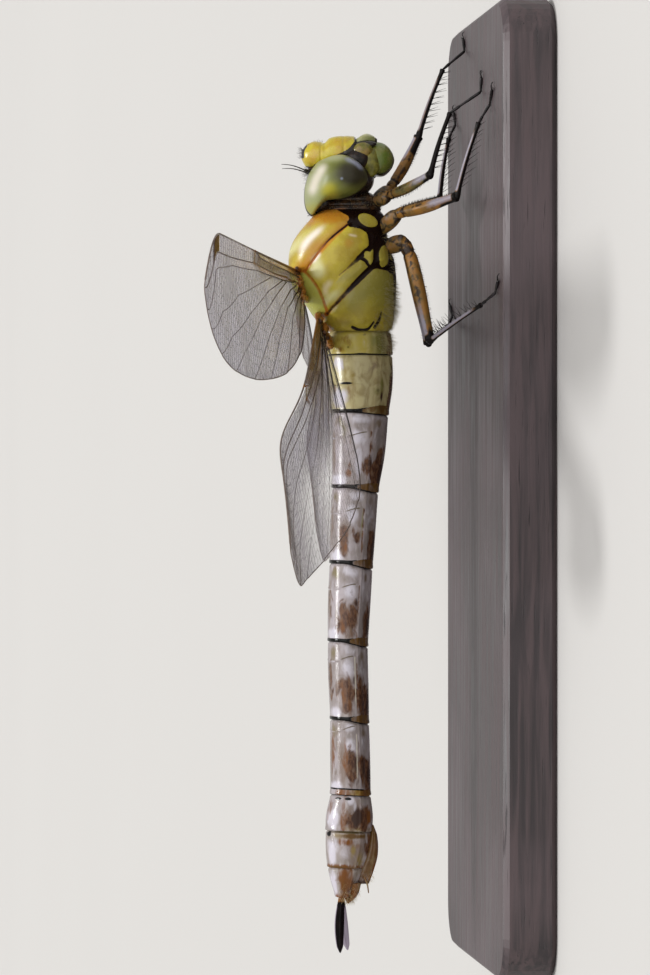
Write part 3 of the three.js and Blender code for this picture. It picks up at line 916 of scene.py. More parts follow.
@dataclass(frozen=True)
class PlateFinish:
    """The orange-brown plates at the wings' roots."""

    def make(self) -> Material:
        """Makes the material."""
        recipe = Recipe("wing_root_cuticle", Coat_Weight=0.15, Coat_Roughness=0.2)
        fine = recipe.noise(2.5, 4)
        ground = recipe.between(fine, 0.35, 0.65, "#a06a26", "#7a4818")
        colour = recipe.layers(
            ground,
            ("rust", fine, 0.25, 0.4, 0.9, "#93541a"),
            (recipe.step(fine, 0.56, 0.68, 0, 0.7), "#c08a34"),
            ("dark", fine, 0.45, 0.4, 0.8, "#34180b"),
        )
        return recipe.finish(colour, *Gloss(0.25, 0.45, 12.0, 0.03).lay(recipe))


# --- Hairs and spines ---

HAIR_PATCH = 0.003  # how wide one hair is on the OFBake map, which is 1 wide
MAP_SPAN = 80  # how many millimetres of the body lie across the map


@dataclass(frozen=True)
class Tuft:
    """A field of stiff hairs: where they root, which way they lie and how long they are."""

    roots: Array
    aims: Array
    lengths: Array
    patches: Array
    radius: float = 0.012
    bend: float = 0.25

    def grow(self, form: Form, draw: np.random.Generator) -> None:
        """Adds the hairs, each a thin bent cone of three sides.

        Args:
            form: The form that the hairs are added to.
            draw: The source of chance.
        """
        count, sides = len(self.roots), 3
        aims = directions(self.aims)
        across = directions(np.cross(aims, draw.normal(size=(count, 3))))
        other = np.cross(aims, across)
        turn = np.arange(sides) * 2 * np.pi / sides
        ring = across[:, None] * np.cos(turn)[:, None] + other[:, None] * np.sin(turn)[:, None]
        rows = []
        for share, thick in ((-0.08, 1.0), (0.35, 0.85), (0.7, 0.55)):
            middle = self.roots + aims * (share * self.lengths)[:, None]
            middle = middle + across * (self.bend * share**2 * self.lengths)[:, None]
            rows.append(middle[:, None] + ring * self.radius * thick)
        tips = self.roots + aims * self.lengths[:, None] + across * (self.bend * self.lengths)[:, None]
        points = np.concatenate([*rows, tips[:, None]], 1)
        quads = [
            (low + k, low + (k + 1) % 3, low + 3 + (k + 1) % 3, low + 3 + k)
            for low in (0, 3)
            for k in range(3)
        ]
        ends = [(6, 7, 9), (7, 8, 9), (8, 6, 9), (2, 1, 0)]
        each = points.shape[1]
        start = each * np.arange(count)[:, None, None]
        share = np.tile([0, 0, 0, 0.35, 0.35, 0.35, 0.7, 0.7, 0.7, 1.0], count)
        form.add(points.reshape(-1, 3), np.array(quads) + start, np.array(ends) + start, {"tip": share})
        corner = np.tile(np.concatenate([np.arange(9) % 3 / 2, [0.5]]), count)
        spread = np.stack([corner - 0.5, share - 0.5], 1) * HAIR_PATCH
        form.patches.append(np.repeat(self.patches, each, axis=0) + spread)


# --- Thorax ---


@dataclass(frozen=True)
class Suture:
    """A groove between two plates of a flank, as places along X and heights."""

    path: Rows
    width: float
    depth: float = 0.09
    dark: float = 1.0
    rust: float = 0.0
    taper: float = 0.5
    paling: float = 0.0

    def read(self, flank: Array) -> tuple[Array, Array, Array]:
        """Finds the groove under points of the flank.

        Args:
            flank: The points' places along X and heights.

        Returns:
            The distance of each point from the groove, the groove's half width there, and how much
            of its darkness is left.
        """
        away, along = distance_to(curve_through(self.path, 24), flank)
        half = self.width * (1 - self.taper * fade(along, 0.45, 1.0)) / 2
        return away, half, 1 - self.paling * fade(along, 0.3, 0.75)


@dataclass
class Thorax:
    """The wing-bearing trunk: oblique plates between sutures, dark below."""

    rows: Rows = (
        (24.7, 18.3, 13.0, 2.0), (23.4, 19.6, 12.6, 3.2), (21.8, 20.75, 12.3, 3.75),
        (20.1, 21.1, 11.75, 3.95), (18.0, 20.75, 11.75, 3.95), (16.0, 19.3, 11.85, 3.75),
        (14.8, 18.4, 12.0, 3.2), (14.0, 17.7, 12.2, 2.5),
    )
    sutures: tuple[Suture, ...] = (
        Suture(
            ((23.5, 15.6), (22.5, 16.9), (21.8, 17.7), (20.8, 18.55), (19.15, 19.75)),
            0.1, 0.12, 0.95, 0.8, 0.6, 0.75,
        ),
        Suture(((23.5, 15.8), (23.2, 14.9), (22.85, 14.2), (22.6, 13.45), (22.4, 12.9)), 0.24),
        Suture(
            ((22.6, 13.9), (21.4, 13.8), (20.8, 14.4), (20.3, 14.9), (19.6, 15.7), (18.8, 16.65)),
            0.42, 0.1, 1.0, 0.45, 0.75, 0.45,
        ),
        Suture(((18.7, 16.7), (17.9, 17.3), (16.9, 18.0)), 0.12, 0.06, 0.0, 0.2),
        Suture(((20.4, 14.9), (20.1, 14.3), (19.8, 14.1), (19.45, 13.85)), 0.26),
        Suture(
            ((19.5, 12.2), (19.66, 13.46), (19.3, 14.0), (17.6, 15.7), (15.9, 17.4), (15.5, 17.8)),
            0.42, 0.12, 1.0, 0.6, 0.35, 0.4,
        ),
        Suture(((19.5, 13.8), (20.0, 13.5), (20.7, 13.44), (21.7, 13.35), (22.5, 13.15)), 0.26),
        Suture(((19.6, 12.16), (20.7, 12.07), (21.7, 12.28)), 0.18),
        Suture(((14.3, 15.5), (14.07, 14.9), (14.15, 14.1), (14.75, 13.55)), 0.2, 0.1),
        Suture(((14.3, 13.5), (14.9, 13.1), (15.6, 12.87)), 0.22, 0.06, 0.8),
        Suture(
            ((19.2, 19.75), (18.4, 19.06), (17.66, 18.56), (16.9, 18.2), (15.5, 17.7)),
            0.16, 0.08, 0.1, 0.72, 0,
        ),
    )
    network: Rows = (
        (24.9, 17.2), (24.35, 16.35), (24.0, 15.85), (23.08, 15.8), (23.0, 15.3), (22.9, 14.8),
        (22.65, 14.35), (22.3, 14.07), (21.9, 13.95), (20.9, 13.6), (19.6, 13.6),
    )
    plates: tuple[tuple[float, float, float, float, float], ...] = (
        (23.7, 14.2, 0.88, 0.52, 62), (20.55, 14.05, 0.42, 0.3, 30), (20.55, 12.72, 0.98, 0.44, 0),
        (20.8, 11.9, 0.6, 0.22, 0),
    )
    slope: tuple[float, float] = (0.69, 0.724)
    hinges: Rows = ((19.2, 20.3, 0.6, 0.4, 1.0), (15.1, 18.2, 0.6, 0.45, 1.0), (14.2, 17.5, 0.6, 0.4, 0.8))
    # Painted highlights on the flank: each row is a line of places along X and heights, a half width and a
    # strength.
    painted_sheens: tuple[tuple[Rows, float, float], ...] = (
        (((23.5, 17.5), (22.3, 18.9), (21.5, 19.6), (20.2, 20.2)), 0.37, 1.0),
        (((20.95, 18.2), (20.3, 18.75), (19.75, 19.2)), 0.3, 1.0),
        (((18.5, 16.95), (18.1, 17.5), (17.55, 17.85), (16.6, 17.75)), 0.38, 0.55),
        (((22.42, 16.0), (22.3, 15.5), (22.2, 15.0)), 0.13, 0.55),
    )
    ring_count: int = 210
    sides: int = 288

    def build(self) -> None:
        """Builds the trunk's skin."""
        places = even(self.rows, self.ring_count)
        rings, down = barrel(row_at(self.rows, places), self.sides)
        flank = rings[..., [0, 2]].reshape(-1, 2)
        marks, relief = self.paint(flank, rings[..., 1].ravel())
        shape = down.shape
        ends = fade(places, self.rows[0][0], self.rows[0][0] - 0.4) * fade(places, self.rows[-1][0], 14.3)
        rings = swollen(rings, relief.reshape(shape) * ends[:, None])
        form = Form()
        form.loft(rings, **{name: values.reshape(shape) for name, values in marks.items()})
        form.make("thorax_skin", ThoraxFinish().make(), Slot.THORAX, ["thorax"])

    def paint(self, flank: Array, across: Array) -> tuple[dict[str, Array], Array]:
        """Marks the plates and works out the relief.

        Args:
            flank: Places along X and heights, one row a point.
            across: Distances from the middle plane.

        Returns:
            The marks by name, and how far each point stands out.
        """
        x, z = flank.T
        dark, rust = np.zeros(len(x)), np.zeros(len(x))
        nearest = np.abs(across) + 3 * fade(z, 19.5, 17.5)
        groove = 0.05 * hill(nearest, 0, 0.08)
        for suture in self.sutures:
            away, half, left = suture.read(flank)
            edge = away - half
            dark = np.maximum(dark, suture.dark * left * fade(edge, 0.16, -0.09))
            rust = np.maximum(rust, suture.rust * fade(edge, 0.16, 0.0))
            groove = np.maximum(groove, suture.depth * hill(away, 0, 0.1 + half))
            nearest = np.minimum(nearest, away)
        slant = self.slope[0] * x + self.slope[1] * z
        border = row_at(sorted(self.network), x)[:, 1]
        web = fade(z, border + 0.05, border - 0.05) * fade(x, 19.35, 19.5)
        web = np.maximum(web, fade(z, 12.5, 12.1) * fade(x, 18.6, 19.4))
        islands = np.zeros(len(x))
        for middle_x, middle_z, long, wide, turn in self.plates:
            cos, sin = math.cos(math.radians(turn)), math.sin(math.radians(turn))
            u = (x - middle_x) * cos + (z - middle_z) * sin
            v = (z - middle_z) * cos - (x - middle_x) * sin
            reach = np.sqrt((u / long) ** 2 + (v / wide) ** 2)
            islands = np.maximum(islands, fade(reach, 1.08, 0.92))
        upper = fade(z, 15.8, 16.5)
        collar = fade(x, 24.0 + 0.3 * upper, 24.3 + 0.5 * upper)
        dark = np.maximum(np.maximum(dark, web * 0.95), collar * (1 - 0.75 * upper)) * (1 - islands)
        # Painted highlights: pale patches along the lines of the table, fading to their ends.
        painted_sheen = np.zeros(len(x))
        for path, width, power in self.painted_sheens:
            away, along = distance_to(curve_through(path, 12), flank)
            lit = power * hill(away, 0, width) * fade(along, -0.05, 0.35) * fade(along, 1.05, 0.65)
            painted_sheen = strongest(painted_sheen, lit)
        hinges = strongest(*(row[4] * oval(x, z, row[:2], row[2:4]) for row in self.hinges))
        wing_line = row_at(sorted(self.sutures[-1].path), x)[:, 1]
        saddle = fade(z, wing_line, wing_line + 0.12) * fade(x, 19.2, 19.0)
        front = fade(slant, 27.35, 27.55) * (1 - saddle)
        strip = fade(slant, 23.4, 23.6) * fade(slant, 24.95, 24.8)
        rear = fade(slant, 23.5, 23.35)
        keel = fade(np.abs(across), 1.1, 0.5) * front
        bare = 1 - islands
        marks = {
            "dark": np.maximum(dark, 0.75 * fade(z, 12.25, 11.8)),
            # Painted highlights from the lines above.
            "painted_sheen": painted_sheen,
            "rust": np.clip(
                rust * bare
                + 0.9 * hinges
                + 0.5 * fade(x, 23.7, 24.15) * upper
                + 0.35 * keel
                + 0.25 * front * hill(slant, 27.5, 0.4),
                0,
                1,
            ),
            "amber": bare
            * strongest(
                front * (0.8 - 0.5 * hill(slant, 29.3, 1.0)),
                0.55 * hill(x, 21.6, 0.7) * hill(z, 15.9, 0.8) * (1 - front),
                0.75 * front * fade(x, 22.2, 23.8),
                0.35 * rear * fade(x, 16.8, 14.8),
            ),
            "green": bare
            * np.clip(0.45 * strip + 0.9 * saddle + 0.35 * fade(slant, 25.4, 27.0) * (1 - front), 0, 1),
            "olive": strongest(
                0.62 * strip * fade(x, 17.4, 18.8),
                rear * (0.95 - 0.5 * fade(x, 17.6, 15.0)) * bare,
                0.62 * islands,
            ),
            # Painted highlights: pale patches on the plates, and the front plate lighter on its upper side.
            "pale": 1.0 * hill(slant, 24.25, 0.55) * hill(x, 16.8, 0.9) * (1 - saddle)
            + 1.0 * hill(x, 19.1, 0.75) * hill(z, 18.4, 0.7) * (1 - saddle)
            + 0.7 * hill(x, 20.0, 0.7) * hill(z, 18.6, 0.6)
            + 0.85 * hill(slant, 29.6, 0.6) * hill(x, 21.6, 1.6) * fade(z, 17.4, 18.6),
        }
        relief = -0.05 + 0.2 * (1 - np.exp(-((nearest / 0.6) ** 2))) - groove + 0.06 * islands * web
        return marks, relief - 0.12 * hinges


@dataclass
class Prothorax:
    """The small first ring that carries the front legs, with its collar lobes and the neck."""

    rows: Rows = (
        (26.3, 17.3, 13.9, 1.0), (25.9, 17.9, 13.3, 1.5), (25.3, 18.25, 12.9, 1.85),
        (24.76, 18.1, 12.9, 1.8), (24.5, 17.9, 13.1, 1.7),
    )
    ring_count: int = 44
    sides: int = 96

    def build(self) -> None:
        """Builds the ring, its lobes and the neck."""
        places = even(self.rows, self.ring_count)
        rings, down = barrel(row_at(self.rows, places), self.sides)
        station = places[:, None]
        waist = 0.14 * hill(station, 25.55, 0.13) + 0.08 * hill(station, 24.95, 0.08)
        lobes = 0.16 * hill(station, 25.2, 0.16) * fade(down, 0.5, 0.2)
        form = Form()
        tan = 0.6 * hill(station, 24.7, 0.22) * hill(down, 0.36, 0.14)
        olive = 0.3 * hill(station, 25.0, 0.25) * hill(down, 0.62, 0.12)
        form.loft(swollen(rings, lobes - waist - 0.05), amber=tan, green=olive)
        neck = curve_through([(25.9, 0, 15.9), (26.6, 0, 16.1), (27.3, 0, 16.3)], 12)
        form.limb(neck, 1.15 - 0.12 * hill(np.linspace(0, 1, 12), 0.5, 0.2), 40, amber=0.0, green=0.0)
        form.make("prothorax_skin", DarkFinish().make(), Slot.DARK, ["prothorax"])


# --- Abdomen ---


@dataclass
class Abdomen:
    """The ten rings of the abdomen, each sliding into the one before it."""

    rows: Rows = (
        (14.3, 17.5, 12.2, 2.25), (13.0, 17.65, 12.05, 2.55), (9.7, 17.5, 12.0, 2.9),
        (6.8, 17.25, 12.35, 2.5), (3.5, 17.2, 12.7, 2.1), (0.1, 17.25, 13.25, 2.0),
        (-6.5, 17.45, 13.75, 2.1), (-13.4, 17.6, 14.15, 2.2), (-20.3, 17.4, 14.05, 2.15),
        (-26.9, 17.4, 13.9, 1.95), (-29.0, 17.75, 13.75, 1.9), (-31.5, 17.75, 13.95, 1.65),
        (-33.4, 17.6, 14.55, 1.4), (-36.0, 16.9, 15.65, 0.85),
    )
    ends: tuple[float, ...] = (13.9, 11.84, 6.76, 0.13, -6.54, -13.43, -20.32, -26.94, -30.12, -33.39, -36.04)
    slant: Rows = (
        (-36, 0), (-31, 0.1), (-26.9, 0.12), (-20, 0.4), (-10, 0.5), (0, 0.45), (6.8, 0.25),
        (11.9, 0), (14, 0),
    )
    tuck: float = 0.16
    step: float = 0.075
    sides: int = 128

    def build(self) -> None:
        """Builds the rings from front to rear."""
        finish = AbdomenFinish().make()
        for number in range(1, len(self.ends)):
            self.ring(number, finish)

    def ring(self, number: int, finish: Material) -> None:
        """Builds one ring.

        Args:
            number: The ring's number, from 1 at the thorax.
            finish: Its material.
        """
        front, rear = self.ends[number - 1] + self.tuck, self.ends[number] + 0.02
        places = np.linspace(front, rear, max(24, int((front - rear) / self.step)))
        rings, down = barrel(row_at(self.rows, places), self.sides)
        behind = (self.ends[number - 1] - places)[:, None]
        rings[..., 0] -= row_at(self.slant, places)[:, 1:] * fade(down, 0.35, 0.85)
        left = (places - rear)[:, None]
        length = self.ends[number - 1] - rear
        share = np.clip(behind / length, 0, 1)
        girdle = behind - self.girdle_place(number, down)
        relief = (
            0.05 * np.sin(np.pi * share)
            + 0.05 * hill(left, 0.18, 0.22)
            - 0.16 * fade(left, 0.09, 0.0)
            - 0.15 * fade(behind, 0.16, -0.1)
            + 0.035 * hill(girdle, 0.0, 0.08) * fade(down, 0.72, 0.62) * (number < 8)
            + 0.06 * hill(down, 0.665, 0.016)
            + 0.035 * hill(down, 0.0, 0.02)
            - 0.1 * hill(down, 0.8, 0.06)
            + 0.05 * hill(down, 1.0, 0.07)
        )
        form = Form()
        form.loft(swollen(rings, relief), **self.paint(number, behind, left, down, share))
        form.make(f"abdomen_ring_{number}", finish, Slot.ABDOMEN, [f"abdomen_s{number}"])

    def girdle_place(self, number: int, down: Array) -> Array:
        """How far behind a ring's front its cross ridge runs, which slants forward down the flank."""
        if number == 2:
            return 2.5 - 0.1 * fade(down, 0.2, 0.7)
        start = {6: 1.55, 7: 0.85}.get(number, 2.1)
        return start - 0.6 * fade(down, 0.3, 0.62)

    def paint(self, number: int, behind: Array, left: Array, down: Array, share: Array) -> dict[str, Array]:
        """Marks one ring.

        Args:
            number: The ring's number.
            behind: Distance behind the ring's front, at each of its sections.
            left: Distance to the ring's rear edge.
            down: How far round from the back to the belly each point is.
            share: Distance behind the front as a share of the ring's length.

        Returns:
            The marks by name.
        """
        middle = 2 < number < 8
        wide = 0.36 + 0.5 * fade(down, 0.45, 0.75) if 1 < number < 7 else 0.62 if number == 7 else 0.12
        inside = fade(left, wide + 0.04, wide - 0.03)
        place = behind - self.girdle_place(number, down)
        girdle = hill(place, 0, 0.085) * fade(down, 0.62, 0.57)
        marks = blank_marks(down.shape)
        marks["line"] = 0.8 * girdle * fade(down, 0.3, 0.42) * middle
        marks["milk"] = 0.5 * hill(place, 0.12, 0.1) * fade(down, 0.36, 0.24) * middle
        if middle:
            # Painted glint: a thin near-white line beside the lateral ridge, stronger on the rear rings.
            pale = hill(down, 0.615, 0.011) * fade(share, 0.1, 0.16) * fade(share, 0.9, 0.7)
            marks["keel"] = pale * (0.45 if number < 6 else 0.9)
            seam = hill(down, 0.645, 0.016) * fade(share, 0.18, 0.24) * fade(share, 0.95, 0.85)
            marks["brown"] = 0.7 * seam
        if number < 7:
            marks["black"] = inside * fade(down, 0.6, 0.45) * fade(number + 0 * down, 1, 2)
            marks["black"] = strongest(marks["black"], hill(left, 0.05, 0.08) * fade(down, 0.94, 0.8))
            marks["black"] = strongest(marks["black"], 0.85 * hill(left, wide, 0.06) * hill(down, 0.52, 0.1))
            marks["amber"] = 0.85 * inside * fade(down, 0.44, 0.56) * (number > 1)
        elif number == 7:
            marks["black"] = strongest(hill(left, 0.62, 0.08), hill(left, 0.04, 0.07)) * fade(down, 0.8, 0.7)
            marks["rust"] = 0.7 * inside * fade(down, 0.14, 0.3)
            marks["gold"] = 0.9 * inside * fade(down, 0.35, 0.6)
            marks["amber"] = 0.6 * inside * fade(down, 0.5, 0.75)
        marks["cream"] = marks["cream"] + CREAMS.get(number, 0.0)
        for mark, rows in (*SPOTS[number].items(), *(MIDDLE_SPOTS.items() if middle else ())):
            for row in rows:
                marks[mark] = strongest(marks[mark], Spot(*row).lay(share, down))
        marks["milk"] = marks["milk"] * (1 - inside)
        return {name: np.clip(values, 0, 1) for name, values in marks.items()}


@dataclass(frozen=True)
class Spot:
    """A soft spot on a ring: its place and size as shares of the length and depth, and its power."""

    along: float
    deep: float
    long: float
    wide: float
    power: float

    def lay(self, share: Array, down: Array) -> Array:
        """How strongly the spot shows at each place."""
        depth = (1 - np.cos(np.pi * down)) / 2
        reach = ((share - self.along) / self.long) ** 2 + ((depth - self.deep) / self.wide) ** 2
        return self.power * np.exp(-(reach**1.3))


# How creamy the ground of a ring is, where it is at all, and the spots of rings 3 to 7 and of each ring.
CREAMS = {1: 0.95, 2: 0.9, 8: 0.12, 9: 0.22, 10: 0.25}
MIDDLE_SPOTS: dict[str, Rows] = {
    "green": ((0.11, 0.85, 0.07, 0.08, 0.4), (0.12, 0.12, 0.1, 0.12, 0.5)),
    "shade": (
        (0.11, 0.86, 0.07, 0.07, 0.9), (0.5, 0.03, 0.34, 0.05, 0.9), (0.12, 0.12, 0.11, 0.13, 0.75),
    ),
    "brown": ((0.7, 0.93, 0.3, 0.09, 1.0),),
    "deep": ((0.72, 0.97, 0.24, 0.05, 0.9),),
    "milk": (
        (0.07, 0.5, 0.08, 0.2, 0.75), (0.33, 0.5, 0.14, 0.17, 0.8), (0.28, 0.84, 0.16, 0.12, 0.5),
        (0.9, 0.15, 0.11, 0.17, 0.95),
    ),
}
SPOTS: dict[int, dict[str, Rows]] = {
    1: {
        "rust": ((0.35, 0.28, 0.35, 0.12, 0.62), (0.75, 0.2, 0.22, 0.07, 0.6)),
        "yellow": ((0.5, 0.4, 1.0, 0.45, 0.9),),
        "gold": ((0.6, 0.13, 0.9, 0.16, 0.4),),
        "deep": ((0.66, 0.32, 0.1, 0.035, 0.85), (0.12, 0.58, 0.09, 0.035, 0.7)),
        "milk": ((0.55, 0.58, 0.3, 0.05, 0.3),),
        "green": ((0.4, 0.8, 0.9, 0.2, 0.85),),
        "brown": ((0.5, 0.97, 1.0, 0.06, 0.8),),
    },
    2: {
        "milk": ((0.16, 0.16, 0.2, 0.08, 0.9), (0.74, 0.15, 0.22, 0.15, 0.95)),
        "gold": ((0.36, 0.3, 0.16, 0.16, 0.55),),
        "black": ((0.485, 0.27, 0.025, 0.12, 0.95),),
        "line": ((0.52, 0.06, 0.02, 0.1, 0.8),),
        "rust": ((0.62, 0.31, 0.15, 0.05, 0.6), (0.58, 0.07, 0.08, 0.06, 0.5)),
        "shade": ((0.2, 0.7, 0.2, 0.25, 0.42),),
        "green": (
            (0.6, 0.76, 0.09, 0.08, 0.75), (0.5, 0.84, 0.16, 0.035, 0.8), (0.94, 0.85, 0.12, 0.2, 0.9),
        ),
        "deep": ((0.59, 0.77, 0.05, 0.055, 0.7), (0.7, 0.85, 0.1, 0.028, 0.85)),
        "brown": ((0.6, 0.985, 0.5, 0.04, 0.95),),
    },
    3: {
        "rust": ((0.8, 0.33, 0.07, 0.09, 0.85), (0.42, 0.3, 0.1, 0.07, 0.4)),
        "brown": (
            (0.74, 0.33, 0.14, 0.12, 0.6), (0.66, 0.68, 0.15, 0.12, 0.85), (0.76, 0.86, 0.24, 0.12, 0.95),
        ),
        "deep": ((0.6, 0.74, 0.14, 0.05, 0.85),),
        "shade": ((0.3, 0.8, 0.3, 0.24, 0.5),),
        "green": ((0.2, 0.22, 0.17, 0.08, 0.45),),
        "milk": ((0.62, 0.52, 0.3, 0.1, 0.7),),
    },
    4: {
        "shade": ((0.62, 0.3, 0.27, 0.17, 1.0), (0.5, 0.62, 0.25, 0.09, 0.8)),
        "brown": ((0.69, 0.31, 0.22, 0.15, 1.0), (0.6, 0.57, 0.13, 0.1, 0.8)),
        "rust": ((0.77, 0.34, 0.08, 0.08, 0.8),),
        "green": ((0.4, 0.7, 0.2, 0.03, 0.8),),
    },
    5: {
        "shade": ((0.68, 0.46, 0.32, 0.3, 1.0),),
        "brown": (
            (0.69, 0.38, 0.29, 0.19, 1.0), (0.66, 0.6, 0.29, 0.14, 1.0), (0.5, 0.06, 0.25, 0.07, 0.6),
        ),
        "rust": ((0.8, 0.36, 0.11, 0.1, 0.75), (0.58, 0.5, 0.14, 0.07, 0.6)),
        "deep": ((0.45, 0.67, 0.09, 0.05, 0.8),),
    },
    6: {
        "shade": ((0.68, 0.45, 0.33, 0.3, 1.0),),
        "brown": (
            (0.68, 0.45, 0.32, 0.26, 1.0), (0.64, 0.83, 0.28, 0.13, 1.0), (0.5, 0.05, 0.32, 0.07, 0.8),
        ),
        "rust": ((0.64, 0.36, 0.2, 0.1, 0.65), (0.8, 0.52, 0.12, 0.08, 0.6)),
        "deep": ((0.46, 0.64, 0.08, 0.05, 0.85), (0.7, 0.84, 0.24, 0.07, 0.65)),
        "green": ((0.14, 0.12, 0.12, 0.12, 0.4),),
    },
    7: {
        "rust": ((0.5, 0.38, 0.34, 0.09, 0.75), (0.45, 0.07, 0.34, 0.06, 0.7)),
        "shade": ((0.55, 0.33, 0.36, 0.16, 1.0),),
        "brown": ((0.66, 0.52, 0.34, 0.19, 1.0), (0.62, 0.84, 0.3, 0.13, 1.0)),
        "deep": ((0.58, 0.63, 0.18, 0.06, 0.65), (0.6, 0.84, 0.2, 0.06, 0.75)),
    },
    8: {
        "milk": (
            (0.66, 0.14, 0.34, 0.14, 1.0), (0.13, 0.52, 0.15, 0.11, 0.9), (0.3, 0.61, 0.24, 0.05, 0.75),
        ),
        "gold": ((0.9, 0.6, 0.12, 0.4, 0.6),),
        "shade": ((0.5, 0.6, 0.7, 0.35, 0.7), (0.66, 0.5, 0.36, 0.2, 1.0)),
        "rust": ((0.5, 0.37, 0.7, 0.1, 0.8), (0.4, 0.04, 0.4, 0.06, 0.6), (0.5, 0.92, 0.4, 0.1, 0.65)),
        "brown": ((0.66, 0.54, 0.36, 0.2, 1.0), (0.6, 0.82, 0.38, 0.2, 1.0)),
        "deep": ((0.56, 0.66, 0.32, 0.17, 1.0),),
        "black": ((0.07, 0.2, 0.04, 0.1, 0.85), (0.07, 0.44, 0.045, 0.1, 1.0)),
        "green": ((0.1, 0.8, 0.14, 0.14, 0.4),),
        "line": ((0.99, 0.5, 0.03, 0.6, 0.9),),
    },
    9: {
        "gold": (
            (0.09, 0.5, 0.12, 0.45, 0.7), (0.5, 0.62, 0.25, 0.08, 0.7), (0.75, 0.85, 0.3, 0.15, 0.6),
        ),
        "amber": ((0.1, 0.58, 0.1, 0.38, 1.0), (0.96, 0.3, 0.06, 0.9, 0.8)),
        "line": ((0.01, 0.5, 0.025, 0.6, 0.9),),
        "black": ((0.06, 0.06, 0.09, 0.06, 0.8),),
        "rust": (
            (0.27, 0.42, 0.12, 0.22, 0.9), (0.38, 0.68, 0.14, 0.13, 0.62), (0.96, 0.3, 0.1, 0.9, 1.0),
        ),
        "milk": ((0.55, 0.14, 0.45, 0.13, 0.9), (0.62, 0.45, 0.25, 0.16, 0.5)),
        "shade": ((0.5, 0.7, 0.6, 0.3, 0.9), (0.5, 0.4, 0.14, 0.12, 0.5)),
        "brown": ((0.4, 0.95, 0.4, 0.1, 0.8),),
    },
    10: {
        "milk": ((0.45, 0.1, 0.5, 0.13, 1.0), (0.45, 0.62, 0.14, 0.1, 0.7)),
        "rust": ((0.35, 0.5, 0.55, 0.34, 0.95), (1.0, 0.5, 0.25, 0.7, 0.9)),
        "amber": ((0.6, 0.4, 0.6, 0.3, 0.5),),
        "brown": ((0.6, 0.65, 0.35, 0.28, 0.9),),
        "shade": ((0.5, 0.6, 0.35, 0.28, 0.8),),
        "deep": ((0.93, 0.55, 0.05, 0.4, 0.55),),
    },
}


# --- Head ---


def column(rows: Array, sides: int, squareness: float = 1.0) -> tuple[Array, Array]:
    """Rings of a column along Z.

    Args:
        rows: Rows of height, front, back and half width.
        sides: How many points each ring has, from the front round by the left.
        squareness: A power under 1 makes the rings squarer, and 1 leaves them round.

    Returns:
        The rings, and the turn from the front at each side.
    """
    turn = turns(sides)
    z, front, back, half = (rows[:, k, None] for k in range(4))
    cos, sin = (np.sign(wave) * np.abs(wave) ** squareness for wave in (np.cos(turn), np.sin(turn)))
    deep = (front + back) / 2 + (front - back) / 2 * cos
    return np.stack([deep, half * sin, z * np.ones_like(turn)], -1), turn


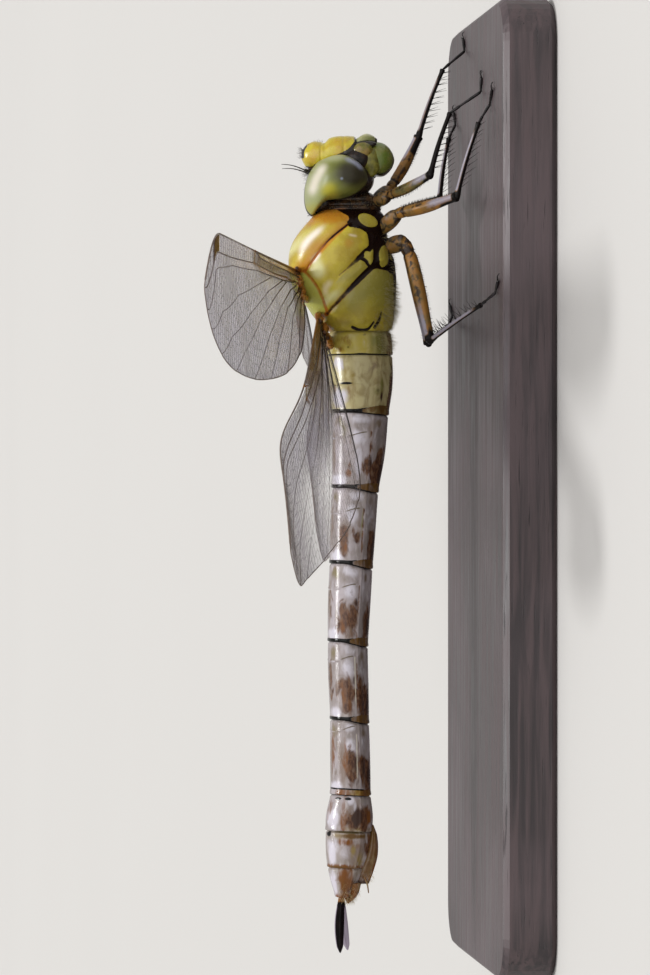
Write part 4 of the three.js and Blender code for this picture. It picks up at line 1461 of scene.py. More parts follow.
@dataclass
class Head:
    """The head: two great eyes, the face, the mouthparts, the crown and the antennae."""

    face: Rows = (
        (19.95, 30.0, 29.2, 0.55), (19.6, 30.45, 28.6, 1.1), (18.9, 30.8, 28.4, 1.5),
        (18.2, 30.75, 28.4, 1.7), (17.9, 30.7, 28.4, 1.75), (17.5, 31.1, 28.4, 1.85),
        (16.4, 31.3, 28.4, 2.0), (15.2, 31.25, 28.6, 2.0),
    )
    face_edge: Rows = (
        (19.9, 28.6), (19.0, 28.5), (18.2, 28.95), (17.0, 29.4), (16.2, 29.75), (15.7, 30.1),
        (15.2, 30.8),
    )
    labrum: Rows = (
        (15.25, 30.95, 30.4, 1.5), (14.9, 31.2, 30.35, 1.7), (14.3, 31.5, 30.4, 1.65),
        (13.7, 31.35, 30.45, 1.3), (13.3, 31.05, 30.55, 0.7),
    )
    labium: Rows = (
        (14.6, 29.7, 28.9, 0.7), (14.4, 30.2, 28.3, 1.4), (14.0, 30.55, 27.9, 1.8),
        (13.3, 30.75, 27.7, 2.0), (12.7, 30.6, 27.75, 1.9), (12.25, 30.25, 28.1, 1.6),
        (11.95, 29.8, 28.5, 1.15), (11.8, 29.4, 28.9, 0.6), (11.76, 29.2, 29.1, 0.2),
    )
    eye_rim: Rows = (
        (26.2, 19.75, 0.05), (27.5, 19.5, 0.08), (28.3, 19.05, 0.9), (29.0, 18.3, 1.7),
        (29.45, 16.4, 2.5), (28.6, 14.8, 2.9), (27.2, 14.1, 2.8), (26.2, 14.9, 2.5), (25.6, 16.3, 2.1),
        (25.45, 17.7, 1.5), (24.8, 18.5, 1.0), (24.2, 19.05, 0.4), (24.8, 19.6, 0.08),
    )
    eye_crown: Place = (27.0, 4.75, 17.3)
    eye_inner: float = 1.6
    # Painted light on the eye: each row is a line of places along X and heights, a half width and a strength;
    # the first is the highlight band, the second the bluish rim reflection.
    eye_lights: tuple[tuple[Rows, float, float], ...] = (
        (((28.9, 17.6), (27.5, 18.55), (26.5, 18.95), (25.4, 19.1)), 0.5, 0.88),
        (((29.1, 16.5), (28.9, 15.8), (28.55, 15.1), (27.8, 14.35)), 0.34, 0.95),
    )
    capsule_centre: Place = (27.45, 0, 16.5)
    capsule_radii: Place = (2.0, 3.85, 2.95)
    mandible: Place = (29.9, 1.95, 14.3)
    antenna_root: Place = (28.1, 0.85, 19.2)
    antenna_tip: Place = (28.6, 2.6, 21.7)
    eye_grid: tuple[int, int] = (132, 46)
    face_grid: tuple[int, int] = (110, 120)
    labrum_grid: tuple[int, int] = (60, 96)
    labium_grid: tuple[int, int] = (70, 108)
    capsule_grid: tuple[int, int] = (72, 48)

    def build(self) -> None:
        """Builds the head's pieces."""
        eye_finish = EyeFinish().make()
        green = FaceFinish("mouth_cuticle", "#5a6b22", "#717232").make()
        yellow = FaceFinish("face_cuticle", "#c4b42a", "#b79a28").make()
        black = DarkFinish("black_cuticle", "#0f0b0a", "#241813").make()
        for side in Side:
            self.eye(side, eye_finish)
            self.mandible_piece(side, green)
            self.antenna(side, black)
        self.face_plates(yellow)
        self.lips(green)
        self.crown()
        self.capsule()

    def eye(self, side: Side, finish: Material) -> None:
        """Builds one compound eye as a dome that rises from its rim to its crown."""
        points, steps = self.eye_grid
        rim = curve_through([(x, out, z) for x, z, out in self.eye_rim], points, closed=True)
        spread = np.sin(np.linspace(0.03, np.pi / 2, steps))[:, None]
        waves = np.fft.rfft(rim, axis=0)
        orders = np.arange(len(waves))
        damped = spread ** (0.25 + 0.75 * orders) * (orders > 0) + (orders == 0)
        rings = np.fft.irfft(damped[..., None] * waves, len(rim), axis=1)
        rings += (1 - spread**2)[..., None] * (np.array(self.eye_crown) - rim.mean(0)) * (1, 0, 1)
        rings[..., 1] += np.sqrt(1 - spread**2) * (self.eye_crown[1] - rim[:, 1].mean())
        middle = np.array(self.eye_crown)
        lip = middle + (rim - middle) * 0.95
        lip[:, 1] = rim[:, 1] - 0.14
        back = middle + (rim - middle) * 0.5
        back[:, 1] = rim[:, 1] * 0.5 + self.eye_inner * 0.5
        rings = np.concatenate([rings, lip[None], back[None]])
        x, z = rings[..., 0], rings[..., 2]
        across = np.concatenate([spread, [[1.0], [1.0]]]) * np.ones(len(rim))
        dusk = np.exp(-((((x - 27.6) / 1.45) ** 2 + ((z - 15.4) / 1.85) ** 2) ** 1.3))
        dusk = strongest(dusk, 0.6 * fade(z, 15.8, 14.6), 0.4 * fade(x, 26.6, 25.6) * fade(z, 17.2, 16.4))
        tip = 0.6 * fade(x, 25.9, 24.7) * fade(z, 17.6, 18.4)
        places = np.stack([x, z], -1).reshape(-1, 2)
        # The painted highlight band and the painted rim reflection.
        band, edge = (self.light(*light, places).reshape(x.shape) for light in self.eye_lights)
        marks = {
            "dusk": dusk,
            "gold": strongest(0.95 * oval(x, z, (26.2, 17.5), (0.8, 0.9)), tip),
            "spot": 0.8 * oval(x, z, (27.18, 16.44), (0.2, 0.2)),
            "painted_sheen": band,
            "painted_rim_reflection": 0.8 * edge,
            # Painted light: the upper part of the eye and its front rim made lighter.
            "pale": strongest(0.6 * fade(z, 16.9, 18.9), 0.85 * fade(x, 28.2, 29.3) * fade(z, 15.4, 16.8)),
            "rim": fade(across, 0.965, 0.995) * fade(x, 28.6, 27.2),
        }
        rings[..., 1] *= side.value
        form = Form()
        form.loft(rings, **marks)
        form.make(f"eye_dome_{side.word}", finish, Slot.EYE, [f"eye_{side.word}"])

    def light(self, line: Rows, wide: float, power: float, places: Array) -> Array:
        """How strongly a painted highlight along a line shows at each place, fading to its ends."""
        away, along = distance_to(curve_through(line, 16), places)
        return power * hill(away, 0, wide) * fade(along, -0.05, 0.3) * fade(along, 1.05, 0.7)

    def face_plates(self, finish: Material) -> None:
        """Builds the frons and the clypeus under it, with the groove between them."""
        heights = even(self.face, self.face_grid[0])
        rings, turn = column(row_at(self.face, heights), self.face_grid[1], 0.86)
        z, front = heights[:, None], np.maximum(np.cos(turn), 0)
        y = rings[..., 1]
        groove = hill(z, 17.98 + 0.18 * np.abs(y), 0.1)
        cheek = hill(np.abs(y), 1.25, 0.3) * fade(z, 17.6, 17.0) * fade(z, 15.2, 15.8)
        relief = -0.03 * hill(z, 16.25, 0.14) - 0.05 * groove + 0.05 * cheek * front
        relief = relief - 0.1 * hill(z, 15.2, 0.12) - 0.06 * hill(y, 0, 0.12) * fade(z, 19.0, 19.6) * front
        border = row_at(self.face_edge, heights)[:, 1:]
        bar = fade(z, 19.4, 19.56) * fade(np.abs(y), 1.0, 0.8) * fade(rings[..., 0], 29.15, 29.4)
        marks = {
            "dark": strongest(bar, fade(z, 15.36, 15.24), fade(rings[..., 0], border + 0.1, border)),
            # Painted highlights: in the groove between frons and clypeus, and on the frons' front.
            "pale": 0.5 * groove * fade(front, 0.5, 0.8) + 0.25 * hill(z, 18.6, 0.4) * front,
            "amber": 0.5 * hill(z, 16.9, 0.7) * fade(np.abs(y), 0.9, 1.6) + 0.35 * hill(z, 18.9, 0.5) + 0 * y,
        }
        form = Form()
        form.loft(swollen(rings, relief, axis=2), **marks)
        form.make("face_plates", finish, Slot.FACE, ["face"])

    def lips(self, finish: Material) -> None:
        """Builds the upper lip with the strip above it, and the lower lip with its side lobes."""
        heights = even(self.labrum, self.labrum_grid[0])
        rings, turn = column(row_at(self.labrum, heights), self.labrum_grid[1], 0.8)
        z, front = heights[:, None], np.cos(turn)
        y = rings[..., 1]
        relief = -0.05 * hill(z, 14.95, 0.07) * fade(front, 0, 0.3) - 0.03 + 0 * y
        dark = strongest(fade(z, 15.08, 15.15), fade(z, 13.55, 13.4), fade(front, -0.1, -0.35))
        # The upper lip's own pale green, with a painted highlight added on its front.
        pale = 0.45 + 0.15 * fade(front, 0.2, 0.8) * fade(z, 14.95, 14.2)
        upper = Form()
        upper.loft(swollen(rings, relief, axis=2), dark=dark, pale=pale, amber=0.0)
        upper.make("upper_lip", finish, Slot.FACE, ["labrum"])
        heights = even(self.labium, self.labium_grid[0])
        rings, turn = column(row_at(self.labium, heights), self.labium_grid[1], 0.9)
        z, front, y = heights[:, None], np.cos(turn), rings[..., 1]
        seam = np.maximum(hill(np.abs(y), 0.62, 0.07), hill(y, 0, 0.05) * fade(z, 12.7, 12.5))
        seam = seam * fade(front, -0.1, 0.3)
        shade = np.maximum(seam * 0.7, fade(front, -0.6, -0.9) * 0.6)
        lower = Form()
        # pale: a painted highlight band round the widest part of the lower lip
        marks = {"dark": shade + 0.7 * fade(z, 14.1, 14.25), "pale": 0.3 * hill(z, 13.5, 0.4), "amber": 0.0}
        lower.loft(swollen(rings, -0.07 * seam + 0.04 * hill(np.abs(y), 1.1, 0.4), axis=2), **marks)
        lower.make("lower_lip", finish, Slot.FACE, ["labium"])

    def mandible_piece(self, side: Side, finish: Material) -> None:
        """Builds the base of one jaw."""
        x, y, z = self.mandible
        form = Form()
        base, edge = (x, side.value * (y - 0.05), z + 0.25), (x + 0.55, side.value * (y - 0.3), z)
        form.blob(base, (0.7, 0.42, 0.85), 24, dark=0.42, pale=0.0, amber=0.5)
        form.blob(edge, (0.3, 0.35, 0.95), 16, dark=0.95, pale=0.0, amber=0.0)
        form.make(f"jaw_{side.word}", finish, Slot.FACE, [f"mandible_{side.word}"])

    def antenna(self, side: Side, finish: Material) -> None:
        """Builds one antenna: two thick joints and a thin whip in short links."""
        root, tip = np.array(self.antenna_root), np.array(self.antenna_tip)
        along = (tip - root) / np.linalg.norm(tip - root)
        stops = [root - 0.2 * along, root + 0.25 * along, root + 0.6 * along]
        form = Form()
        bow = np.array([0.35, 0, 0.1])
        for start, end, radius in ((stops[0], stops[1], 0.19), (stops[1], stops[2], 0.13)):
            share = np.linspace(0, 1, 7)
            path = start + share[:, None] * (end - start)
            form.limb(path * (1, side.value, 1), radius * (0.75 + 0.3 * np.sin(np.pi * share)), 14)
        share = np.linspace(0, 1, 30)
        path = stops[2] + share[:, None] * (tip - stops[2]) + np.sin(np.pi * share)[:, None] * bow * 0.4
        radii = (0.06 - 0.038 * share) * (1 + 0.25 * hill(np.mod(share * 5, 1), 0.0, 0.15))
        form.limb(path * (1, side.value, 1), radii, 8)
        form.make(f"feeler_{side.word}", finish, Slot.BLACK, [f"antenna_{side.word}"])

    def crown(self) -> None:
        """Builds the knob between the antennae with its three small eyes, and the plate behind the eyes."""
        knob = Form()
        knob.blob((28.2, 0, 18.95), (0.5, 0.95, 0.5), 22, amber=0.25, green=0.0)
        knob.blob((28.75, 0, 18.7), (0.4, 1.2, 0.45), 18, amber=0.0, green=0.0)
        knob.make("crown_knob", DarkFinish("crown_cuticle").make(), Slot.DARK)
        lenses = Form()
        places = ((28.62, 0, 19.2), (28.2, 0.48, 19.32), (28.2, -0.48, 19.32))
        for place, radius in zip(places, (0.17, 0.15, 0.15)):
            lenses.blob(place, (radius,) * 3, 12)
        lenses.make("small_eyes", LensFinish().make(), Slot.EYE)
        plate = Form()
        plate.blob((24.5, 0, 18.95), (0.3, 0.4, 0.3), 16, dark=0.0, pale=0.3, amber=0.3)
        finish = FaceFinish("occiput_cuticle", "#c8bc40", "#b8a436").make()
        plate.make("occiput_plate", finish, Slot.FACE)

    def capsule(self) -> None:
        """Builds the dark back of the head."""
        rings = np.array(self.capsule_centre) + globe(*self.capsule_grid, 0.04) * np.array(self.capsule_radii)
        cheek = hill(np.abs(rings[..., 1]), 2.6, 0.5) * fade(rings[..., 0], 26.6, 26.0) * 0.6
        form = Form()
        form.loft(rings, amber=0.3 * hill(rings[..., 2], 17.5, 0.5), green=cheek)
        for way in (-1, 1):
            form.blob((29.1, way * 1.7, 15.0), (0.95, 0.75, 1.1), 20, amber=0.1, green=0.1)
            form.blob((28.85, way * 1.6, 13.85), (1.3, 0.6, 0.85), 24, amber=0.2, green=0.55)
        form.blob((25.35, 0, 17.95), (0.95, 1.6, 0.85), 22, amber=0.0, green=0.0)
        form.blob((24.9, 0, 18.45), (0.55, 1.0, 0.45), 16, amber=0.0, green=0.0)
        finish = DarkFinish("head_cuticle", "#120d0a", "#33241a").make()
        form.make("head_capsule", finish, Slot.DARK, ["head"])


# --- Legs ---

BASE_TOP = (BASE_HIGH.z - BASE_LOW.z) / MM


@dataclass(frozen=True)
class Stance:
    """Where one leg stands, on the base's frame, and how it is coloured."""

    hip: Place
    trochanter: Place
    bend: Place
    knee: Place
    ankle: Place
    sole: tuple[float, float]
    toe: tuple[float, float]
    thick: float
    thorns: Place
    prickles: Place
    blackened: float = 0.72
    olive: float = 0.0
    # How strong the painted highlight is along the upper edge of the femur, then of the tibia.
    painted_femur_highlight: float = 0.6
    painted_tibia_highlight: float = 0.9


STANCES = {
    "front_right": Stance(
        (25.6, -1.2, 13.2), (25.9, -2.2, 12.5), (26.5, -4.0, 11.0), (27.5, -6.0, 9.3),
        (33.0, -4.6, 7.4), (34.9, -5.0), (36.1, -5.3), 0.4,
        (0.1, 0.2, -1), (-1, 0, 0.2), 0.8, 0.75, 0.8, 0.12,
    ),
    "front_left": Stance(
        (25.7, 1.2, 13.1), (26.8, 2.2, 11.9), (28.7, 3.0, 10.6), (31.6, 3.8, 9.1),
        (37.7, 4.6, 6.8), (39.5, 5.5), (40.6, 6.2), 0.42,
        (0.1, -0.2, -1), (0, 0, -1), 0.66, 0.1, 0.9, 0.75,
    ),
    "middle_right": Stance(
        (23.3, -1.6, 12.7), (24.3, -3.0, 11.8), (24.7, -5.2, 9.7), (25.5, -7.6, 7.2),
        (31.8, -9.2, 5.5), (33.3, -10.6), (34.4, -11.8), 0.46,
        (0.6, 0.2, -0.8), (1, 0, 0.2), 0.7, 0.0, 0.8,
    ),
    "middle_left": Stance(
        (23.5, 1.6, 12.4), (24.6, 3.0, 11.2), (25.4, 5.2, 8.9), (26.2, 7.6, 6.7),
        (32.0, 10.2, 5.5), (33.4, 11.6), (34.6, 12.7), 0.46,
        (0.6, -0.2, -0.8), (1, 0, 0.2), 0.7, 0.0, 0.8,
    ),
    "hind_right": Stance(
        (21.5, -1.6, 12.1), (21.9, -3.0, 11.2), (20.0, -3.9, 10.6), (13.0, -6.8, 9.4),
        (15.9, -12.0, 5.7), (16.9, -13.9), (17.8, -15.4), 0.47,
        (0.6, 0, 0.8), (0.3, 0, -1), 0.9, 0.35, 0.9,
    ),
    "hind_left": Stance(
        (21.7, 1.6, 11.9), (22.2, 3.0, 10.6), (20.4, 3.9, 9.8), (13.2, 6.8, 7.8),
        (15.0, 12.0, 5.3), (16.0, 13.7), (17.0, 15.2), 0.47,
        (0.6, 0, 0.8), (0.3, 0, -1), 0.9, 0.35, 0.9,
    ),
}


@dataclass
class Leg:
    """One leg: coxa, trochanter and femur, then the tibia, then the foot with its claws."""

    name: str
    stance: Stance
    tibia_radius: float = 0.23
    foot_radius: float = 0.14
    thorn_length: float = 1.05
    prickle_length: float = 0.32
    sides: int = 28
    coxa_steps: int = 20
    femur_steps: int = 90
    tibia_steps: int = 60
    foot_steps: int = 14

    def build(self, finish: Material, black: Material) -> None:
        """Builds the leg's three pieces."""
        self.thigh(finish)
        self.shin(finish)
        self.foot(black)

    def make(self, piece: str, solid: str, form: Form, finish: Material, slot: Slot) -> None:
        """Makes one of the leg's pieces, which is seen instead of one of its solids."""
        form.make(f"leg_{self.name}_{piece}", finish, slot, [f"leg_{self.name}_{solid}"], standing)

    def ridged(self, path: Array, radii: Array, marks: dict[str, Array], form: Form) -> None:
        """Adds a limb with four lengthwise ridges, a dark stripe and a painted highlight along its upper
        edge.
        """
        rings = rings_round(path, np.ones(len(path)), self.sides)
        middle = path[:, None]
        turn = turns(self.sides)
        ridge = 1 + 0.09 * np.abs(np.cos(2 * turn)) ** 3
        rings = middle + (rings - middle) * (radii[:, None] * ridge)[..., None]
        upward = (rings[..., 2] - path[:, None, 2]) / radii[:, None]
        spread = {name: np.broadcast_to(values[:, None], upward.shape) for name, values in marks.items()}
        stripe = np.abs(np.cos(1.5 * turn + 0.6)) ** 8
        spread["brown"] = strongest(spread["brown"], 0.55 * stripe * (1 - spread["black"]))
        # The painted highlight shows only on the upper side, and lightens the black under it.
        spread["pale"] = spread["pale"] * fade(upward, 0.0, 0.7)
        spread["black"] = spread["black"] * (1 - 0.85 * spread["pale"])
        form.loft(rings, **spread)

    def bristle(self, path: Array, radii: Array, aim: Place, count: int, length: float, form: Form) -> None:
        """Adds two rows of spines along a limb.

        Args:
            path: The limb's middle line.
            radii: Its radius at each point.
            aim: Which way the spines point.
            count: How many a row has.
            length: How long each is.
            form: The form that they are added to.
        """
        draw = np.random.default_rng(len(self.name) + count)
        along = path[-1] - path[0]
        along /= np.linalg.norm(along)
        across = np.cross(along, aim)
        across /= np.linalg.norm(across)
        for way in (-1, 1):
            share = np.linspace(0.1, 0.94, count) + draw.uniform(-0.01, 0.01, count)
            place = share * (len(path) - 1)
            starts = np.stack([np.interp(place, np.arange(len(path)), path[:, k]) for k in range(3)], 1)
            out = np.array(aim) / np.linalg.norm(aim) + 0.3 * way * across
            out = out / np.linalg.norm(out) + 0.2 * along + draw.normal(0, 0.035, (count, 3))
            root = starts + out * np.interp(place, np.arange(len(path)), radii)[:, None] * 0.85
            long = length * draw.uniform(0.85, 1.05, count) * np.sin(np.pi * (0.2 + 0.7 * share)) ** 0.5
            form.rods(root, root + out * long[:, None], 0.03, 0.009, brown=0, olive=0, pale=0, black=1)

    def thigh(self, finish: Material) -> None:
        """Builds the coxa, trochanter and femur."""
        s = self.stance
        form = Form()
        share = np.linspace(0, 1, self.coxa_steps)
        start = np.array(s.hip) + (np.array(s.hip) - np.array(s.trochanter)) * 0.3
        coxa = start + share[:, None] * (np.array(s.trochanter) - start)
        plump = s.thick * (1.15 + 0.35 * np.sin(np.pi * share) - 0.25 * fade(share, 0.85, 1.0))
        none = 0 * share
        brown = 0.5 + 0.12 * np.cos(7 * share)
        marks = {"brown": brown, "olive": none + 0.55, "pale": none + 0.4, "black": none}
        self.ridged(coxa, plump, marks, form)
        path = curve_through([s.trochanter, s.bend, s.knee], self.femur_steps)
        share = np.linspace(0, 1, self.femur_steps)
        joint = hill(share, 0.13, 0.02)
        radii = s.thick * (
            0.98 - 0.14 * joint + 0.12 * hill(share, 0.4, 0.25) - 0.16 * fade(share, 0.55, 0.93)
        )
        radii = radii * (1 - 0.25 * fade(share, 0.04, 0.0)) + 0.05 * hill(share, 0.985, 0.03)
        marks = {
            "brown": 0.5 * fade(share, 0.26, 0.1) + 0.7 * joint + 0.3 * hill(share, 0.5, 0.3),
            "olive": s.olive * fade(share, 0.1, 0.3),
            # Painted highlight along the upper edge, up to where the femur turns black.
            "pale": s.painted_femur_highlight * fade(share, 0.35, s.blackened) * fade(share, 0.98, 0.93),
            "black": 0.95 * fade(share, s.blackened - 0.1, s.blackened + 0.1),
        }
        self.ridged(path, radii, marks, form)
        self.bristle(path, radii, s.prickles, 26, self.prickle_length, form)
        self.make("thigh", "femur", form, finish, Slot.LEG)

    def shin(self, finish: Material) -> None:
        """Builds the tibia with its knee and spines."""
        s = self.stance
        form = Form()
        share = np.linspace(0, 1, self.tibia_steps)
        knee, ankle = np.array(s.knee), np.array(s.ankle)
        path = knee + share[:, None] * (ankle - knee)
        path[:, 2] += 0.12 * np.sin(np.pi * share)
        radii = self.tibia_radius * (1.2 - 0.3 * fade(share, 0.02, 0.15) - 0.15 * fade(share, 0.2, 0.8))
        radii = radii + 0.05 * hill(share, 0.985, 0.03)
        # Painted highlight along the tibia's upper edge.
        pale = s.painted_tibia_highlight * fade(share, 0.03, 0.1) * fade(share, 1.05, 0.75)
        none = 0 * share
        self.ridged(path, radii, {"brown": none, "olive": none, "pale": pale, "black": 1 + none}, form)
        self.bristle(path, radii, s.thorns, 10, self.thorn_length, form)
        form.blob(knee, (0.33, 0.31, 0.31), 14, brown=0.3, olive=0.0, pale=0.25, black=0.9)
        self.make("shin", "tibia", form, finish, Slot.LEG)

    def foot(self, finish: Material) -> None:
        """Builds the three foot joints and the two claws, flat on the base."""
        s, r = self.stance, self.foot_radius
        height = BASE_TOP + r
        ankle, sole, toe = np.array(s.ankle), np.array([*s.sole, height]), np.array([*s.toe, height])
        form = Form()
        stops = [ankle, ankle + (sole - ankle) * 0.32, sole - (toe - sole) * 0.05, toe]
        for start, end in zip(stops[:-1], stops[1:]):
            share = np.linspace(0, 1, self.foot_steps)
            path = start + share[:, None] * (end - start)
            radii = r * (0.72 + 0.28 * fade(share, 0.0, 0.7) - 0.2 * fade(share, 0.9, 1.0))
            form.limb(path, radii, 14)
        ahead = (toe - sole) / np.linalg.norm(toe - sole)
        across = np.cross(ahead, [0, 0, 1])
        for way in (-1, 1):
            share = np.linspace(0, 1, self.foot_steps)[:, None]
            reach = ahead * 0.55 * np.sin(share * 1.7) + across * way * (0.1 + 0.3 * share)
            claw = toe + reach + np.array([0, 0, 1]) * (0.12 * np.sin(np.pi * share) - (r - 0.03) * share)
            form.limb(claw, 0.07 * (1 - 0.85 * share[:, 0]) + 0.008, 10)
            slope = ahead * 0.1 - np.array([0, 0, 0.12])
            tooth = claw[self.foot_steps // 2] + np.linspace(0, 1, 5)[:, None] * slope
            form.limb(tooth, np.linspace(0.035, 0.008, 5), 8)
        self.make("foot", "tarsus", form, finish, Slot.BLACK)


@dataclass
class Legs:
    """All six legs."""

    def build(self) -> None:
        """Builds them."""
        finish = LegFinish().make()
        black = DarkFinish("foot_cuticle", "#0e0b0b", "#2a2326").make()
        for name, stance in STANCES.items():
            Leg(name, stance).build(finish, black)


# --- Tail ---


@dataclass
class Tail:
    """The parts behind the last rings: the leaf-shaped appendages, the end flaps and the ovipositor."""

    root: Place = (-36.1, 0.42, 16.45)
    tip: Place = (-40.8, 1.15, 16.4)
    half_width: float = 0.48
    half_height: float = 0.13
    roll: float = 62.0
    drop: tuple[tuple[Side, float], ...] = ((Side.LEFT, 0.5), (Side.RIGHT, -0.15))
    leaf_grid: tuple[int, int] = (70, 48)
    sheath_grid: tuple[int, int] = (80, 60)
    ovipositor: Rows = (
        (-29.6, 13.75, 13.6, 0.3), (-30.6, 14.0, 13.25, 0.6), (-32.2, 14.4, 13.2, 0.65),
        (-33.6, 14.9, 13.55, 0.5), (-34.8, 15.2, 14.0, 0.25),
    )

    def build(self) -> None:
        """Builds the tail's pieces."""
        black = AppendageFinish().make()
        amber = AbdomenFinish(name="tail_cuticle").make()
        for side, drop in self.drop:
            self.leaf(side, drop, black)
        self.blades(amber)
        self.flaps(amber)

    def leaf(self, side: Side, drop: float, finish: Material) -> None:
        """Builds one appendage: a leaf with a raised midrib and thin pale edges, turned a little out."""
        share = np.linspace(0, 1, self.leaf_grid[0])
        root = np.array(self.root) * (1, side.value, 1)
        tip = np.array(self.tip) * (1, side.value, 1) - (0, 0, drop)
        middle = root + share[:, None] * (tip - root)
        middle[:, 2] += 0.12 * np.sin(np.pi * share)
        wide = self.half_width * (0.25 + 0.75 * np.sin(np.pi * np.clip(0.12 + 0.82 * share, 0, 1)) ** 0.8)
        wide = wide * np.sqrt(np.clip((1.004 - share) / 0.12, 0, 1)) + 0.01
        turn = turns(self.leaf_grid[1])
        flat_way = wide[:, None] * np.cos(turn)
        rise = np.abs(np.sin(turn)) ** 1.3 * np.sign(np.sin(turn))
        ridge = 1 + 0.7 * hill(np.abs(flat_way), 0, 0.08)
        thin = self.half_height * (wide / self.half_width)[:, None] * rise * ridge
        roll = math.radians(self.roll) * side.value
        y = flat_way * math.cos(roll) - thin * math.sin(roll)
        z = flat_way * math.sin(roll) + thin * math.cos(roll)
        rings = middle[:, None] + np.stack([0 * y, y, z], -1)
        edge = fade(np.abs(np.cos(turn)), 0.82, 0.93) * fade(share, 0.05, 0.2)[:, None]
        edge = strongest(edge, 0.75 * (side is Side.LEFT) * fade(share, 0.1, 0.25)[:, None])
        base = fade(share, 0.12, 0.0)[:, None] + 0 * y
        form = Form()
        form.loft(rings, edge=edge, base=base)
        form.make(f"tail_leaf_{side.word}", finish, Slot.BLACK, [f"cercus_{side.word}"])

    def blades(self, finish: Material) -> None:
        """Builds the ovipositor's sheath with its seam, and the two styles at its end."""
        places = even(self.ovipositor, self.sheath_grid[0])
        rings, down = barrel(row_at(self.ovipositor, places), self.sheath_grid[1])
        station = places[:, None]
        share = (self.ovipositor[0][0] - station) / np.ptp(places)
        seam = hill(down, 1.0, 0.05) + 0.7 * hill(down, 0.55, 0.05)
        form = Form()
        marks = blank_marks(down.shape)
        marks["rust"] = 0.4 + 0.5 * fade(down, 0.6, 0.9)
        marks["brown"] = 0.72 * fade(down, 0.95, 0.5)
        marks["amber"] = 0.7 * fade(down, 1.0, 0.6) * fade(share, 1.1, 0.8)
        marks["shade"] = 1 + 0 * down
        marks["gold"] = 0.7 * hill(share, 0.65, 0.3) * fade(down, 0.9, 0.6)
        marks["cream"] = 0.4 + 0 * down
        marks["deep"] = strongest(0.95 * fade(share, 0.88, 0.97), 0.7 * seam * fade(share, 0.2, 0.5))
        form.loft(swollen(rings, -0.07 * seam + 0 * station), **marks)
        for way in (-1, 1):
            stops = [(-34.2, way * 0.3, 14.4), (-34.9, way * 0.36, 14.15), (-35.6, way * 0.42, 14.05)]
            taper = np.linspace(0.1, 0.045, 16)
            form.limb(curve_through(stops, 16), taper, 14, **blank_marks(rust=0.8, cream=0.8))
        form.make("ovipositor_sheath", finish, Slot.ABDOMEN, ["ovipositor"])

    def flaps(self, finish: Material) -> None:
        """Builds the three small flaps that close the end of the last ring as a blunt cone."""
        form = Form()
        share = np.linspace(0, 1, 24)
        marks = blank_marks(24, rust=0.75 + 0.25 * share, amber=0.45 + 0 * share, gold=0.7 + 0 * share)
        marks["deep"] = 0.6 * hill(share, 0.38, 0.07)
        taper = np.clip(1 - share, 0.02, 1) ** 0.75
        lobes = ((0.28, 15.3, 0.62), (-0.28, 15.3, 0.62), (0.26, 15.95, 0.55), (-0.26, 15.95, 0.55))
        for out, high, wide in lobes:
            stops = [(-34.7, out, high), (-35.6, 0.8 * out, high + 0.05), (-36.55, 0.3 * out, 15.85)]
            form.limb(curve_through(stops, 24), wide * taper, 28, **marks)
        for way in (-1, 1):
            stain = blank_marks(rust=0.8, cream=0.8)
            form.blob((-36.05, way * 0.42, 16.42), (0.32, 0.2, 0.22), 14, **stain)
        form.make("tail_flaps", finish, Slot.ABDOMEN)


def blank_marks(shape: int | tuple[int, ...] = (), **given: Array | float) -> dict[str, Array | float]:
    """The abdomen's marks, all at nothing but the given ones."""
    colours = ("cream", "yellow", "gold", "green", "milk", "rust", "amber", "brown", "shade", "deep", "black")
    return {name: np.zeros(shape) for name in (*colours, "line", "keel")} | given


# --- Wings ---

WING_TENON = 1.4  # how far a wing's twist starts inside its hinge
WING_END = 0.998  # where the veins end, as a share of the wing's length
NET_END = 0.995  # where the net of cross veins ends, likewise
CROSS_VEIN_RADIUS = 0.02


@dataclass(frozen=True)
class Vein:
    """One main vein: its path as shares of the wing's length and width, its radii and its pleat."""

    path: Rows
    root: float = 0.065
    tip: float = 0.04
    height: float = 0.06


FORE_VEINS = (
    Vein(((0, 0), (1, 0)), 0.13, 0.07, 0.1),
    Vein(((0, 0.25), (0.05, 0.14), (0.15, 0.08), (0.45, 0.05), (0.5, 0.0)), 0.07, 0.05, -0.1),
    Vein(((0, 0.42), (0.05, 0.24), (0.15, 0.145), (0.5, 0.1), (0.9, 0.16), (1, 0.5)), 0.1, 0.055, 0.14),
    Vein(
        ((0.07, 0.24), (0.15, 0.2), (0.3, 0.17), (0.5, 0.16), (0.75, 0.2), (0.9, 0.3), (0.985, 1)),
        height=-0.06,
    ),
    Vein(((0.33, 0.17), (0.5, 0.27), (0.7, 0.4), (0.85, 0.62), (0.95, 1)), 0.05, 0.035, 0.06),
    Vein(((0.22, 0.19), (0.4, 0.3), (0.6, 0.5), (0.78, 0.75), (0.87, 1)), 0.055, 0.035, -0.05),
    Vein(((0.16, 0.2), (0.3, 0.32), (0.5, 0.53), (0.68, 0.82), (0.76, 1)), 0.06, 0.035, 0.07),
    Vein(((0.07, 0.3), (0.15, 0.3), (0.3, 0.44), (0.45, 0.66), (0.62, 1)), 0.07, 0.035, -0.07),
    Vein(((0, 0.5), (0.08, 0.42), (0.2, 0.47), (0.35, 0.72), (0.47, 1)), 0.08, 0.035, 0.09),
    Vein(((0, 0.56), (0.08, 0.5), (0.18, 0.58), (0.26, 0.8), (0.33, 1)), 0.08, 0.04, -0.05),
    Vein(((0, 0.75), (0.06, 0.72), (0.13, 0.85), (0.18, 1)), 0.07, 0.045, 0.06),
    Vein(((0, 1), (1, 1)), 0.06, 0.04, 0.0),
)
